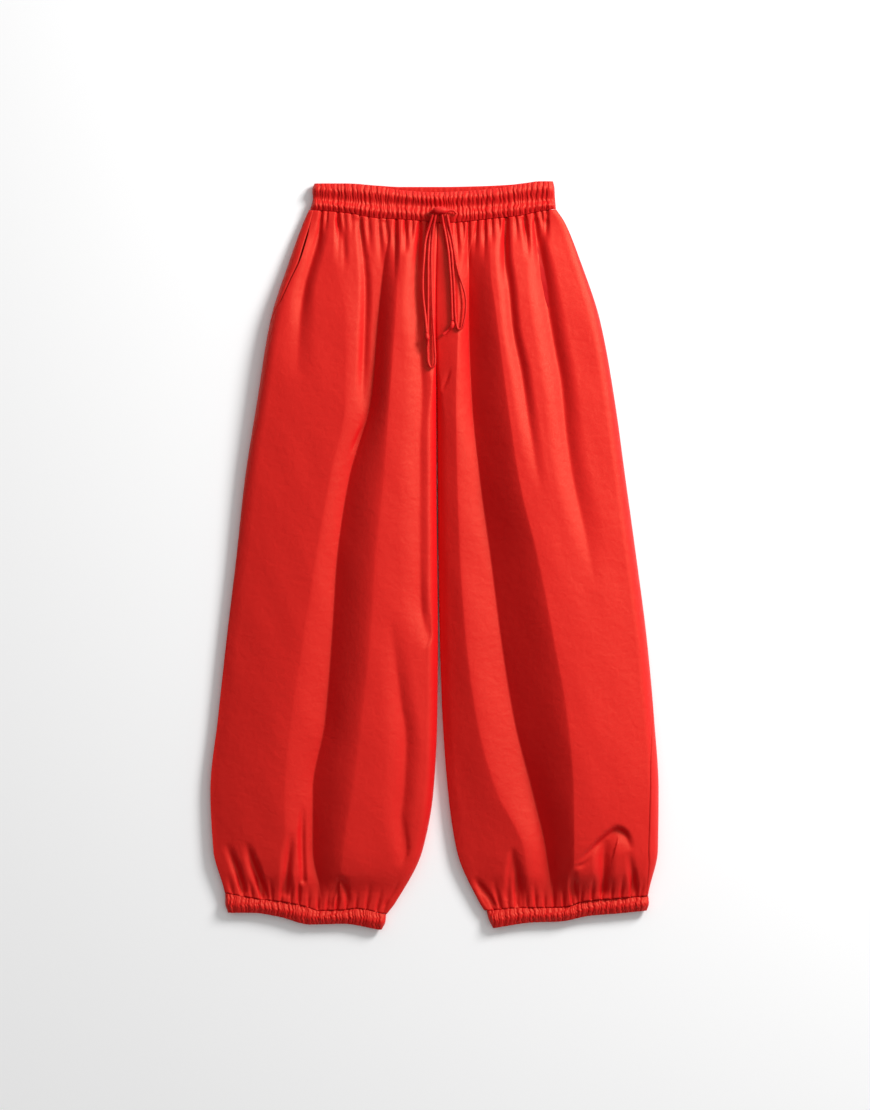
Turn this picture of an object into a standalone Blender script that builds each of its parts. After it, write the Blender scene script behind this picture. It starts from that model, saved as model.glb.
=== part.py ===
"""Balloon trousers of crisp red cloth, laid flat with their front up.

Metres, +Z up. The back lies on z = 0 and +Y points to the waist. Left and right are the viewer's.
The tables hold millimetres, with x = 0 midway across the garment and y = 0 midway along it.
Each leg is a tube of two panels: the front carries the folds, the back lies flat and rolls up
at the sides to meet it.
"""

import math

import bmesh
import bpy
import numpy as np

MM = 0.001

CLOTH = 1.2
BAND_WALL = 2.0
POCKETING = 1.6
SEAM_GAP = 0.3
HALF_GAP = SEAM_GAP / 2
# Curved seams across the garment are faceted, so they need a little more.
CROSS_HALF_GAP = 0.25
LEG_PARTING = 0.3
LOWEST_VALLEY = 10.5
ROLL_UNDER = 13.0

CORD = 3.4
CORD_STEP = 9.0
CORD_BEVEL = 2

BAND_GATHERS = 46
CUFF_GATHERS = 38
GATHER_DEPTH = 1.3

# How a fold rises from its valley and falls from its crest: 1 is a straight slope.
RISE_POWER = 1.25
FALL_POWER = 1.4
VALLEY_RADIUS = 1.5

CLOTH_RED = (0.76, 0.04, 0.02, 1.0)
POCKET_RED = (0.60, 0.03, 0.02, 1.0)
CORD_RED = (0.70, 0.04, 0.02, 1.0)
CLOTH_ROUGHNESS = 0.5

# Where each leg's main fold lines run, seen from above.
LINES = ("y", "left_edge", "crest_1", "foot", "crest_2", "right_edge")
LEFT_LINES = (
    (473, -171, -126, -57, -39, 5),
    (455, -179, -129, -59, -42, 4.5),
    (403, -198, -132, -68, -48, 3),
    (321, -224, -121, -77, -53, 2),
    (212, -242, -122, -87, -61, 3),
    (103, -259, -143, -117, -69, 3),
    (-6, -271, -162, -133, -80, 4),
    (-115, -284, -179, -140, -87, 5),
    (-225, -296, -195, -149, -99, 4),
    (-320, -306, -204, -166, -111, -1),
    (-402, -302, -203, -166, -124, -16),
    (-474, -285, -184, -154, -129, -53),
    (-491, -285, -184, -154, -129, -66),
)
RIGHT_LINES = (
    (473, 5, 21, 59, 81, 166),
    (455, 4.5, 24, 58, 78, 178),
    (403, 3, 31, 47, 76, 199),
    (321, 2, 32, 47, 85, 226),
    (212, 3, 29, 51, 99, 246),
    (103, 4, 31, 62, 115, 261),
    (-6, 5, 35, 77, 141, 276),
    (-115, 7, 43, 91, 162, 290),
    (-225, 11, 58, 109, 181, 300),
    (-320, 18, 84, 133, 189, 306),
    (-402, 30, 122, 152, 190, 305),
    (-474, 61, 130, 160, 188, 291),
    (-491, 72, 130, 160, 188, 291),
)

# How high the cloth stands on those lines.
LEFT_HEIGHTS = (
    (473, 12, 13, 12, 13, 12),
    (455, 12.5, 14, 12.5, 14, 12.5),
    (403, 18, 21, 15, 25, 20),
    (321, 24, 26, 16, 33, 25),
    (250, 25, 28, 16, 37, 27),
    (212, 24, 29, 17, 39, 28),
    (103, 20, 30, 19, 43, 31),
    (-6, 17, 31, 20, 46, 32),
    (-115, 15, 31, 20, 47, 32),
    (-225, 12.5, 32, 20, 46, 30),
    (-320, 12.5, 31, 18, 42, 26),
    (-402, 12, 27, 15, 35, 20),
    (-432, 12, 24, 14, 29, 17),
    (-462, 11.5, 15, 12, 16, 12),
    (-491, 11, 12, 11, 12, 11),
)
RIGHT_HEIGHTS = (
    (473, 12, 13, 12, 13, 12),
    (455, 12.5, 14, 12.5, 14, 12),
    (403, 18, 22, 14, 26, 18),
    (321, 21, 25, 13, 35, 24),
    (250, 20, 26, 13, 39, 25),
    (212, 19, 26, 13, 41, 26),
    (103, 16, 26, 15, 46, 27),
    (-6, 14, 27, 15, 49, 28),
    (-115, 13, 29, 16, 51.5, 27),
    (-225, 13, 30, 15, 51, 26),
    (-320, 13, 29, 14, 48, 26),
    (-402, 12.5, 26, 14, 41, 23),
    (-432, 12, 23, 13, 34, 20),
    (-462, 12, 15, 12, 18, 14),
    (-491, 11, 12, 11, 12, 11),
)

# How the cloth turns over at a leg's two sides: the height where it turns, how far in it rolls.
EDGES = ("y", "outer_z", "outer_roll", "inner_z", "inner_roll", "back_inner_z")
EDGE_ROWS = (
    (473, 8, 9, 10, 3, 0),
    (403, 9, 13, 17, 3, 0),
    (321, 11, 16, 20, 3, 0),
    (265, 12, 16, 17, 4, 0),
    (227, 12, 16, 12, 8, 11.7),
    (180, 12, 16, 11, 13, 10.7),
    (-402, 12, 16, 11, 14, 10.7),
    (-491, 8, 10, 8, 10, 7.7),
)
CROTCH_Y = 227

# Where a side seam lies in from the leg's edge, on its upper face, and how far it stands open.
SEAM = ("y", "inset", "open")
LEFT_SIDE_SEAM = (
    (473, 6, 0.3),
    (448, 11, 0.3),
    (436, 12, 1.5),
    (406, 13.5, 1.6),
    (376, 10, 1.5),
    (349, 7, 1.4),
    (336, 4, 0.3),
    (308, 0, 0.3),
)
RIGHT_SIDE_SEAM = (
    (-190, 0, 0.3),
    (-231, 4, 0.3),
    (-306, 12, 0.3),
    (-402, 13.5, 0.3),
    (-422, 10, 0.3),
    (-457, 3, 0.3),
    (-485, 0, 0.3),
)

# Smaller folds pressed into the fronts: each runs from one row to the next.
CREASE = ("x", "y", "depth", "left", "right")
LEFT_CREASES = {
    "pocket_trough": ((-152, 461, 0, 12, 12), (-163, 417, 7, 14, 12), (-178, 362, 7, 16, 14),
                      (-184, 308, 4, 20, 20), (-186, 240, 0, 24, 24)),
    "gather_1": ((-132, 458, 2, 4, 4), (-124, 424, 3, 5, 5), (-122, 387, 0, 6, 6)),
    "hip_fold": ((-106, 457, 2, 4, 4), (-99, 424, 3, 6, 6), (-94, 362, 5, 8, 8),
                 (-96, 281, 5, 9, 8), (-99, 199, 0, 9, 8)),
    "gather_2": ((-69, 455, 2, 4, 4), (-63, 424, 0, 5, 5)),
    "gather_3": ((-40, 455, 2, 4, 4), (-39, 410, 0, 5, 5)),
    "inner_fold": ((-18, 452, 2, 5, 4), (-24, 403, 7, 14, 9), (-25, 349, 8, 16, 10),
                   (-20, 281, 6, 16, 9), (-17, 219, 6, 18, 9), (-20, 144, 5, 20, 9),
                   (-20, 21, 5, 22, 9), (-21, -61, 7, 22, 9), (-8, -119, 0, 20, 8)),
    "shin_fold": ((-58, -104, 0, 10, 12), (-51, -156, 5, 14, 14), (-46, -197, 8, 16, 14),
                  (-39, -252, 9, 18, 14), (-42, -320, 9, 18, 14), (-46, -361, 8, 16, 12),
                  (-39, -413, 3, 10, 10)),
    "crest_step": ((-134, 69, 0, 8, 8), (-145, -6, 3, 8, 8), (-162, -88, 3, 8, 8),
                   (-179, -197, 4, 8, 8), (-197, -313, 4, 8, 8), (-200, -350, 0, 6, 6)),
    "hem_1": ((-285, -391, 0, 6, 8), (-271, -427, 5, 7, 8), (-261, -457, 4, 6, 6)),
    "hem_2": ((-257, -391, 0, 8, 8), (-244, -432, 8, 9, 9), (-231, -466, 5, 7, 7)),
    "hem_3": ((-195, -377, 0, 8, 8), (-200, -418, 6, 9, 8), (-203, -461, 4, 7, 7)),
    "hem_4": ((-179, -342, 0, 5, 4), (-181, -388, 4, 6, 5), (-179, -443, 4, 5, 5)),
}
RIGHT_CREASES = {
    "gather_1": ((98, 463, 2, 5, 5), (96, 417, 6, 12, 9), (102, 362, 7, 14, 10),
                 (107, 308, 7, 14, 10), (118, 253, 7, 16, 12), (126, 199, 5, 16, 12),
                 (137, 130, 2, 14, 12), (145, 83, 0, 12, 12)),
    "hip_fold": ((139, 455, 3, 6, 6), (144, 417, 8, 16, 12), (151, 362, 10, 22, 18),
                 (162, 294, 10, 24, 20), (173, 233, 9, 24, 20), (179, 171, 8, 24, 22),
                 (189, 103, 6, 24, 24), (204, 35, 4, 24, 26), (220, -47, 0, 24, 26)),
    "gather_2": ((122, 458, 3, 5, 5), (129, 409, 0, 6, 6)),
    "gather_3": ((152, 455, 2, 5, 5), (147, 420, 0, 5, 5)),
    "hem_1": ((106, -397, 0, 6, 10), (113, -443, 6, 8, 12), (117, -477, 4, 8, 10)),
    "hem_2": ((189, -424, 0, 6, 6), (190, -450, 5, 7, 7), (195, -473, 3, 6, 6)),
    "hem_3": ((234, -386, 0, 10, 14), (230, -418, 8, 14, 16), (231, -457, 5, 12, 14)),
    "hem_4": ((264, -402, 0, 6, 7), (271, -443, 5, 7, 7), (275, -468, 3, 6, 6)),
    "hem_5": ((54, -437, 0, 8, 8), (70, -465, 5, 8, 8), (80, -481, 3, 6, 6)),
}

# The waistband's lines across the garment, as x and y.
BAND_SEAM = (
    (-171, 472), (-143, 470), (-115, 467), (-81, 461), (-47, 459), (-20, 457), (8, 454),
    (35, 455), (62, 458), (89, 461), (117, 464), (144, 470), (166, 473),
)
BAND_MIDDLE = (
    (-163, 488), (-129, 485), (-81, 481), (-47, 479), (8, 476), (48, 477), (89, 480),
    (117, 484), (158, 486),
)
BAND_FRONT_TOP = (
    (-164, 508), (-122, 508), (-81, 505), (-47, 499), (1, 496), (48, 498), (89, 502),
    (117, 507), (144, 511), (162, 511),
)
BAND_BACK_TOP = (
    (-164, 508), (-122, 508), (-81, 506), (-47, 504), (8, 504), (62, 505), (103, 507),
    (144, 511), (162, 511),
)
ENDS = ("across", "left", "right")
BAND_END_ROWS = ((0, -170, 166), (0.45, -166, 164.5), (0.75, -167, 164), (1, -164, 162))
# The band's height and gathers across its two channels, from the leg seam to the top edge.
PROFILE = ("across", "height", "gather")
BAND_FRONT_PROFILE = ((0, 12.0, 0.7), (0.22, 15.5, 1.0), (0.5, 11.6, 0.6), (0.78, 15.5, 1.0),
                      (1, 11.0, 0.8))
BAND_TURN_Z = 8.0
BAND_ROLL = 9.0

LEFT_CUFF_SEAM = (
    (-285, -461), (-240, -469), (-200, -474), (-174, -480), (-158, -485), (-125, -484),
    (-108, -482), (-66, -490),
)
LEFT_CUFF_HEM = (
    (-282, -488), (-249, -488), (-214, -493), (-169, -504), (-125, -503), (-76, -511),
)
RIGHT_CUFF_SEAM = (
    (73, -485), (118, -481), (153, -481), (177, -480), (205, -472), (249, -468), (292, -465),
)
RIGHT_CUFF_HEM = (
    (80, -509), (136, -501), (170, -500), (212, -492), (249, -489), (289, -485),
)
LEFT_CUFF_ENDS = ((0, -286, -66), (0.5, -286, -67), (1, -282, -72))
RIGHT_CUFF_ENDS = ((0, 71, 292), (0.5, 74, 293), (1, 80, 290))
CUFF_PROFILE = ((0, 11.5, 0.6), (0.5, 14.5, 1.0), (1, 10.0, 0.8))
CUFF_TURN_Z = 7.5
CUFF_ROLL = 9.0

# Stations down a leg, and how many steps lie between its fold lines.
LEG_TOP = 455
LEG_BOTTOM = -474
LEG_STATIONS = (
    LEG_TOP, 448, 438, 424, 406, 384, 358, 328, 296, 262, CROTCH_Y, 195, 150, 100, 50, 0, -50,
    -100, -150, -200, -248, -290, -326, -358, -386, -412, -436, -457, LEG_BOTTOM,
)
TOP_BLEND = 80
BOTTOM_BLEND = 70
ROLL_STEPS = 4
LEFT_STEPS = (6, 4, 4, 6)
RIGHT_STEPS = (3, 3, 5, 9)
BACK_SIDE_STEPS = 4
BACK_FLAT_STEPS = 3

POCKET_ROWS = (3, 10)
POCKET_COLUMNS = 11

# Gathers let into the leg's two ends: how deep, and how far they run at the shortest and longest.
WAIST_GATHERS = (1.6, 22.0, 70.0)
HEM_GATHERS = (2.0, 16.0, 60.0)

# The drawstring, as x, y and z along each route. It leaves the band at two eyelets, and both
# its ends pass through the bow.
CORD_ROUTES = {
    "drawstring_loop_left": (
        (-0.5, 464.7, 18.8), (-2.8, 452, 16.8), (-6.3, 433, 19.1), (-8.2, 410, 23.7),
        (-8.6, 376, 27.5), (-8.8, 330, 29.9), (-9.2, 303, 30.8), (-9.5, 287, 31.0),
        (-9.2, 272, 31.3), (-7.8, 261, 31.6), (-4.3, 255.5, 32.0), (-0.6, 258, 32.2),
        (0.8, 267, 31.8), (0.2, 282, 31.2), (-1.2, 305, 30.3), (-2.2, 322, 29.6),
        (-3.6, 360, 28.2), (-4, 390, 25.9), (-4, 417, 22.5), (-2.6, 436, 20.3),
        (-0.5, 452, 20.2), (1.8, 464.7, 22.5),
    ),
    "drawstring_tail_left": (
        (-2.5, 464.7, 22.5), (-4.9, 456, 20.8), (-8.8, 443, 18.9), (-11.4, 433, 19.9),
        (-14.2, 406, 24.7), (-16, 369, 27.8), (-14.8, 345, 29.1), (-13.2, 332, 30.3),
        (-11.5, 315, 33.7), (-10.4, 303, 35.7),
    ),
    "drawstring_loop_right": (
        (13.8, 464.7, 18.8), (16.3, 450, 18.0), (19.8, 433, 20.4), (23.4, 412, 24.0),
        (24.8, 393, 25.4), (26.5, 370, 26.2), (27.4, 349, 26.8), (28.4, 328, 27.3),
        (29.8, 316, 27.6), (33, 308, 27.7), (37, 309.5, 27.8), (40.3, 318.7, 27.8),
        (42.6, 333, 27.2), (43, 346, 26.3), (41.5, 357, 26.6), (38, 369, 26.1),
        (33.5, 382, 25.4), (29.8, 397, 24.8), (27.4, 412, 23.9), (23.9, 433, 20.9),
        (20.5, 448, 20.8), (17, 464.7, 22.5),
    ),
    "drawstring_tail_right": (
        (10, 464.7, 22.5), (12.1, 452, 19.8), (15.5, 436, 19.7), (19.2, 412, 23.7),
        (20.6, 395, 25.1), (22.3, 372, 26.0), (23.3, 351, 26.7), (24, 330, 27.2),
        (24.3, 320.5, 27.4),
    ),
}
# The bow and the two tail knots, as x, y, z and radius.
KNOT_ROUTES = {
    "drawstring_knot": (
        (-7, 468, 19.4, 1.7), (-3, 469, 20.6, 2.2), (1, 470, 22.0, 4.6),
        (7.5, 470.3, 22.6, 5.2), (14, 470.3, 22.0, 4.6), (18.5, 470.5, 20.8, 2.2),
        (26, 470, 20.0, 1.7), (30.5, 465.5, 19.4, 1.7),
    ),
    "tail_knot_left": (
        (-10.3, 302.6, 35.9, 1.7), (-9.9, 299, 36.4, 3.0), (-9.5, 295, 36.6, 3.0),
        (-9.2, 291.5, 36.2, 1.7), (-9, 285, 35.4, 1.9),
    ),
    "tail_knot_right": (
        (24.3, 319.2, 27.6, 1.6), (24.3, 315.0, 28.6, 3.0), (23.4, 311.5, 28.8, 3.0),
        (20, 308, 27.8, 1.7), (12, 301, 27.0, 2.2),
    ),
}


def smooth(rows, column, at):
    """The table's column at the given places, on a curve that never overshoots its rows."""
    table = np.array(sorted(rows), float)
    xs = table[:, 0]
    ys = table[:, column]
    at = np.clip(np.asarray(at, float), xs[0], xs[-1])
    steps = np.diff(xs)
    slopes = np.diff(ys) / steps
    tangents = np.zeros_like(ys)
    same_way = slopes[:-1] * slopes[1:] > 0
    both = np.where(same_way, slopes[:-1] + slopes[1:], 1.0)
    tangents[1:-1] = np.where(same_way, 2 * slopes[:-1] * slopes[1:] / both, 0.0)
    tangents[0] = slopes[0]
    tangents[-1] = slopes[-1]
    i = np.clip(np.searchsorted(xs, at, side="right") - 1, 0, len(xs) - 2)
    h = steps[i]
    t = (at - xs[i]) / h
    return (
        ys[i] * (1 + 2 * t) * (1 - t) ** 2
        + tangents[i] * h * t * (1 - t) ** 2
        + ys[i + 1] * t * t * (3 - 2 * t)
        - tangents[i + 1] * h * t * t * (1 - t)
    )


def straight(line):
    """A line's two ends alone."""
    return (line[0], line[-1])


def ease(t):
    """0 to 1 with flat ends."""
    t = np.clip(t, 0, 1)
    return t * t * (3 - 2 * t)


def crease_depth(rows, x, y):
    """How far one crease presses the cloth down at x, y."""
    steps_between = 4
    table = np.array(rows, float)
    along = np.arange(len(table), dtype=float)
    fine = np.linspace(0, len(table) - 1, (len(table) - 1) * steps_between + 1)
    keyed = [tuple(row) for row in np.column_stack([along, table])]
    path = np.column_stack([smooth(keyed, c + 1, fine) for c in range(table.shape[1])])
    deep, left, right = (CREASE.index(column) for column in ("depth", "left", "right"))
    best = np.full(x.shape, np.inf)
    depth = np.zeros(x.shape)
    for start, end in zip(path[:-1], path[1:]):
        run = end - start
        length = math.hypot(run[0], run[1])
        t = ((x - start[0]) * run[0] + (y - start[1]) * run[1]) / length**2
        t = np.clip(t, 0, 1)
        off_x = x - start[0] - t * run[0]
        off_y = y - start[1] - t * run[1]
        distance = np.hypot(off_x, off_y)
        on_right = run[0] * off_y - run[1] * off_x > 0
        width = np.where(on_right, start[right] + t * run[right], start[left] + t * run[left])
        rounded = np.sqrt(distance**2 + VALLEY_RADIUS**2) - VALLEY_RADIUS
        fall = np.clip(1 - rounded / width, 0, 1) ** 2
        here = (start[deep] + t * run[deep]) * fall
        nearer = distance < best
        best = np.where(nearer, distance, best)
        depth = np.where(nearer, here, depth)
    return depth


class Leg:
    """One leg's tables, and the upper and lower faces that they give."""

    def __init__(self, side, lines, heights, creases, seam, cuff_seam, steps):
        self.side = side
        self.lines = lines
        self.heights = heights
        self.creases = creases
        self.seam = seam
        self.cuff_seam = cuff_seam
        self.steps = steps
        self.outer_is_left = side == "left"

    def line(self, name, y):
        return smooth(self.lines, LINES.index(name), y)

    def height(self, name, y):
        return smooth(self.heights, LINES.index(name), y)

    def parting(self, y):
        """Half the gap to the other leg."""
        return HALF_GAP + (LEG_PARTING - HALF_GAP) * ease((CROTCH_Y - y) / 40)

    def edge_x(self, edge, y):
        x = self.line(edge, y)
        if edge == "right_edge" and self.outer_is_left:
            x = x - self.parting(y)
        if edge == "left_edge" and not self.outer_is_left:
            x = x + self.parting(y)
        return x

    def is_outer(self, edge):
        return (edge == "left_edge") == self.outer_is_left

    def turn(self, edge, y):
        """The height at which an edge turns over, and how far in it rolls."""
        kind = "outer" if self.is_outer(edge) else "inner"
        z = smooth(EDGE_ROWS, EDGES.index(kind + "_z"), y)
        return z, smooth(EDGE_ROWS, EDGES.index(kind + "_roll"), y)

    def seam_at(self, edge, y):
        """The side seam's inset from an edge, and its gap."""
        if not self.is_outer(edge):
            return np.zeros_like(y), np.full_like(y, SEAM_GAP)
        return tuple(smooth(self.seam, SEAM.index(name), y) for name in ("inset", "open"))

    def folds(self, x, y):
        """The height of the main folds."""
        names = LINES[1:]
        xs = [self.edge_x(n, y) if "edge" in n else self.line(n, y) for n in names]
        zs = [self.height(n, y) for n in names]
        z = np.zeros(x.shape)
        for k in range(4):
            t = np.clip((x - xs[k]) / (xs[k + 1] - xs[k]), 0, 1)
            shape = 1 - (1 - t) ** RISE_POWER if k % 2 == 0 else t**FALL_POWER
            inside = (x >= xs[k]) if k else np.ones(x.shape, bool)
            z = np.where(inside, zs[k] + (zs[k + 1] - zs[k]) * shape, z)
        return z

    def top(self, x, y):
        """The upper face's height at x, y."""
        z = self.folds(x, y)
        for rows in self.creases.values():
            z = z - crease_depth(rows, x, y)
        z = np.maximum(z, LOWEST_VALLEY)
        for edge, inward in (("left_edge", 1), ("right_edge", -1)):
            turn_z, roll = self.turn(edge, y)
            t = np.clip((x - self.edge_x(edge, y)) * inward / roll, 0, 1)
            z = turn_z + (z - turn_z) * np.sqrt(t * (2 - t))
        return z

    def station(self, nominal, x, front=True):
        """The y of a station at x: it follows the band seam above and the cuff seam below.

        The front's seams curve, and the back's run straight from side to side.
        """
        up = ease((nominal - (LEG_TOP - TOP_BLEND)) / TOP_BLEND)
        down = ease(((LEG_BOTTOM + BOTTOM_BLEND) - nominal) / BOTTOM_BLEND)
        band_seam = BAND_SEAM if front else straight(BAND_SEAM)
        cuff_seam = self.cuff_seam if front else straight(self.cuff_seam)
        band = smooth(band_seam, 1, x) - CROSS_HALF_GAP
        cuff = smooth(cuff_seam, 1, x) + CROSS_HALF_GAP
        return nominal + up * (band - LEG_TOP) + down * (cuff - LEG_BOTTOM)

    def edge_point(self, edge, nominal, front=True):
        """x and y of an edge on a station."""
        y = np.array(nominal, float)
        for _ in range(6):
            x = self.edge_x(edge, y)
            y = self.station(nominal, x, front)
        return x, y


def panel_normals(points):
    """Unit normals of a grid of points."""
    across = np.gradient(points, axis=1)
    down = np.gradient(points, axis=0)
    normals = np.cross(across, down)
    return normals / np.linalg.norm(normals, axis=2, keepdims=True)


def level_ends(normals):
    """Turns the first and last rows' normals square to the seams they meet."""
    for row in (0, -1):
        normals[row, :, 1] = 0
        normals[row] /= np.linalg.norm(normals[row], axis=1, keepdims=True)
    return normals


def material(name, color, roughness):
    made = bpy.data.materials.new(name)
    made.use_nodes = True
    shader = made.node_tree.nodes["Principled BSDF"]
    shader.inputs["Base Color"].default_value = color
    shader.inputs["Roughness"].default_value = roughness
    return made


def add_wall(name, outer, inner, color=CLOTH_RED):
    """A closed wall between two grids of points, outer and inner, in millimetres."""
    rows, columns = outer.shape[:2]
    mesh = bpy.data.meshes.new(name)
    wall = bmesh.new()
    sheets = []
    for grid in (outer, inner):
        sheets.append([[wall.verts.new(p * MM) for p in row] for row in grid])
    for sheet in sheets:
        for r in range(rows - 1):
            for c in range(columns - 1):
                a, b = sheet[r][c], sheet[r][c + 1]
                d, e = sheet[r + 1][c], sheet[r + 1][c + 1]
                wall.faces.new((a, b, e))
                wall.faces.new((a, e, d))
    rim = [(0, c) for c in range(columns)]
    rim += [(r, columns - 1) for r in range(1, rows)]
    rim += [(rows - 1, c) for c in range(columns - 2, -1, -1)]
    rim += [(r, 0) for r in range(rows - 2, 0, -1)]
    for (r0, c0), (r1, c1) in zip(rim, rim[1:] + rim[:1]):
        a, b = sheets[0][r0][c0], sheets[0][r1][c1]
        d, e = sheets[1][r0][c0], sheets[1][r1][c1]
        wall.faces.new((a, b, e))
        wall.faces.new((a, e, d))
    bmesh.ops.recalc_face_normals(wall, faces=wall.faces)
    wall.to_mesh(mesh)
    wall.free()
    mesh.shade_smooth()
    mesh.materials.append(material(name + "_cloth", color, CLOTH_ROUGHNESS))
    part = bpy.data.objects.new(name, mesh)
    bpy.context.scene.collection.objects.link(part)
    return part


def front_grid(leg):
    """The front panel's outer points and their normals."""
    nominal = np.array(LEG_STATIONS, float)
    roll_share = 1 - np.cos(np.linspace(0, math.pi / 2, ROLL_STEPS + 1))
    edges = {}
    for edge, inward in (("left_edge", 1), ("right_edge", -1)):
        x, y = leg.edge_point(edge, nominal)
        roll = leg.turn(edge, y)[1]
        inset, gap = leg.seam_at(edge, y)
        start = inset + gap * np.clip(inset / 2, 0, 1)
        width = np.maximum(roll, start + 8) - start
        edges[edge] = x[:, None] + inward * (start[:, None] + width[:, None] * roll_share)
    columns = [edges["left_edge"]]
    marks = [edges["left_edge"][:, -1]]
    marks += [leg.line(n, nominal) for n in LINES[2:5]]
    marks.append(edges["right_edge"][:, -1])
    for k, count in enumerate(leg.steps):
        share = np.arange(1, count + 1) / count
        columns.append(marks[k][:, None] * (1 - share) + marks[k + 1][:, None] * share)
    columns.append(edges["right_edge"][:, -2::-1])
    x = np.concatenate(columns, axis=1)
    y = leg.station(nominal[:, None], x)
    points = np.stack([x, y, leg.top(x, y)], axis=2)
    let_in_gathers(points)
    normals = -panel_normals(points)
    for column, edge, way in ((0, "left_edge", -1), (-1, "right_edge", 1)):
        normals[:, column] = seam_normals(leg, edge, way, y[:, column])
    return points, level_ends(normals)


def let_in_gathers(points):
    """Presses every second column down and lifts the next, at the waist and the hem."""
    ends = ROLL_STEPS
    index = np.arange(points.shape[1] - 2 * ends)
    sign = np.where(index % 2 == 0, 1.0, -1.0)
    uneven = 0.5 + 0.5 * np.sin(index * 1.9) * np.sin(index * 0.53 + 1)
    for seam_row, (depth, shortest, longest) in ((0, WAIST_GATHERS), (-1, HEM_GATHERS)):
        inner = points[:, ends:-ends]
        away = np.abs(inner[:, :, 1] - inner[seam_row, :, 1])
        reach = shortest + (longest - shortest) * uneven
        inner[:, :, 2] += sign * depth * (0.6 + 0.4 * uneven) * ease(1 - away / reach)


def seam_normals(leg, edge, way, y):
    """The normals that the front and the back share along a side seam."""
    roll = leg.turn(edge, y)[1]
    inset = leg.seam_at(edge, y)[0]
    flat = np.clip(1 - inset / roll, 0, 1)
    return np.stack([way * flat, np.zeros_like(y), np.sqrt(1 - flat**2)], axis=1)


def back_side(leg, edge, nominal):
    """One side of the back panel: from the seam, round the edge, to the floor."""
    way = 1 if edge == "left_edge" else -1
    edge_x, y = leg.edge_point(edge, nominal, front=False)
    turn_z, roll = leg.turn(edge, y)
    inset = leg.seam_at(edge, y)[0]
    on_top = np.clip(inset / 2, 0, 1)
    if leg.is_outer(edge):
        back_z = turn_z - SEAM_GAP * (1 - on_top)
    else:
        back_z = smooth(EDGE_ROWS, EDGES.index("back_inner_z"), y)
    quarter = math.pi / 2
    upper = (roll + turn_z) * quarter / 2
    lower = (ROLL_UNDER + back_z) * quarter / 2
    start = upper * np.arccos(1 - inset / roll) / quarter
    share = np.linspace(0, 1, BACK_SIDE_STEPS + 1)
    q = start[:, None] + (-lower - start)[:, None] * share
    upper_angle = np.clip(q / upper[:, None], 0, 1) * quarter
    lower_angle = np.clip(-q / lower[:, None], 0, 1) * quarter
    inward = np.where(
        q > 0,
        roll[:, None] * (1 - np.cos(upper_angle)),
        ROLL_UNDER * (1 - np.cos(lower_angle)),
    )
    x = edge_x[:, None] + way * inward
    y = np.where(q > 0, leg.station(nominal[:, None], x), leg.station(nominal[:, None], x, False))
    above = leg.top(x, y) - SEAM_GAP * (1 - on_top)[:, None]
    below = back_z[:, None] * (1 - np.sin(lower_angle))
    return np.stack([x, y, np.where(q > 0, above, below)], axis=2)


def back_grid(leg):
    """The back panel's outer points and their normals."""
    nominal = np.array(LEG_STATIONS, float)
    left = back_side(leg, "left_edge", nominal)
    right = back_side(leg, "right_edge", nominal)
    share = np.arange(1, BACK_FLAT_STEPS) / BACK_FLAT_STEPS
    x = left[:, -1:, 0] * (1 - share) + right[:, -1:, 0] * share
    y = leg.station(nominal[:, None], x, front=False)
    flat = np.stack([x, y, np.zeros_like(x)], axis=2)
    points = np.concatenate([left, flat, right[:, ::-1]], axis=1)
    normals = panel_normals(points)
    for column, edge, way in ((0, "left_edge", -1), (-1, "right_edge", 1)):
        along = points[:, column, 1]
        if leg.is_outer(edge):
            normals[:, column] = seam_normals(leg, edge, way, along)
            continue
        raised = smooth(EDGE_ROWS, EDGES.index("back_inner_z"), along)
        share = np.clip(raised / (leg.turn(edge, along)[0] - 2 * SEAM_GAP), 0, 1)
        sideways = np.sin(share * math.pi / 2)
        upright = np.cos(share * math.pi / 2)
        normals[:, column] = np.stack([way * sideways, 0 * share, -upright], axis=1)
    return points, level_ends(normals)


def add_leg(leg):
    points, normals = front_grid(leg)
    add_wall("front_" + leg.side, points, points - CLOTH * normals)
    add_pocket_bag(leg, points, normals)
    points, normals = back_grid(leg)
    add_wall("back_" + leg.side, points, points - CLOTH * normals)


def add_pocket_bag(leg, points, normals):
    """The bag hangs under the front, a seam gap in from its inner face."""
    rows = slice(*POCKET_ROWS)
    if leg.outer_is_left:
        columns = slice(0, POCKET_COLUMNS)
    else:
        columns = slice(-POCKET_COLUMNS, None)
    cloth = points[rows, columns]
    inward = -normals[rows, columns]
    top = cloth + (CLOTH + SEAM_GAP) * inward
    add_wall("pocket_bag_" + leg.side, top, top + POCKETING * inward, POCKET_RED)


def gather_relief(count, columns, rows, profile):
    """Ridge and valley by turns along a gathered channel, none quite like the next."""
    index = np.arange(columns)
    sign = np.where(index % 2 == 0, -1.0, 1.0)
    uneven = 0.75 + 0.25 * np.sin(index * 2.4) * np.sin(index * 0.61 + count)
    size = np.array([row[PROFILE.index("gather")] for row in profile])[:, None]
    relief = GATHER_DEPTH * size * (sign * uneven)[None, :]
    relief[:, 0] = 0
    relief[:, -1] = 0
    return relief[:rows]


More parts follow.
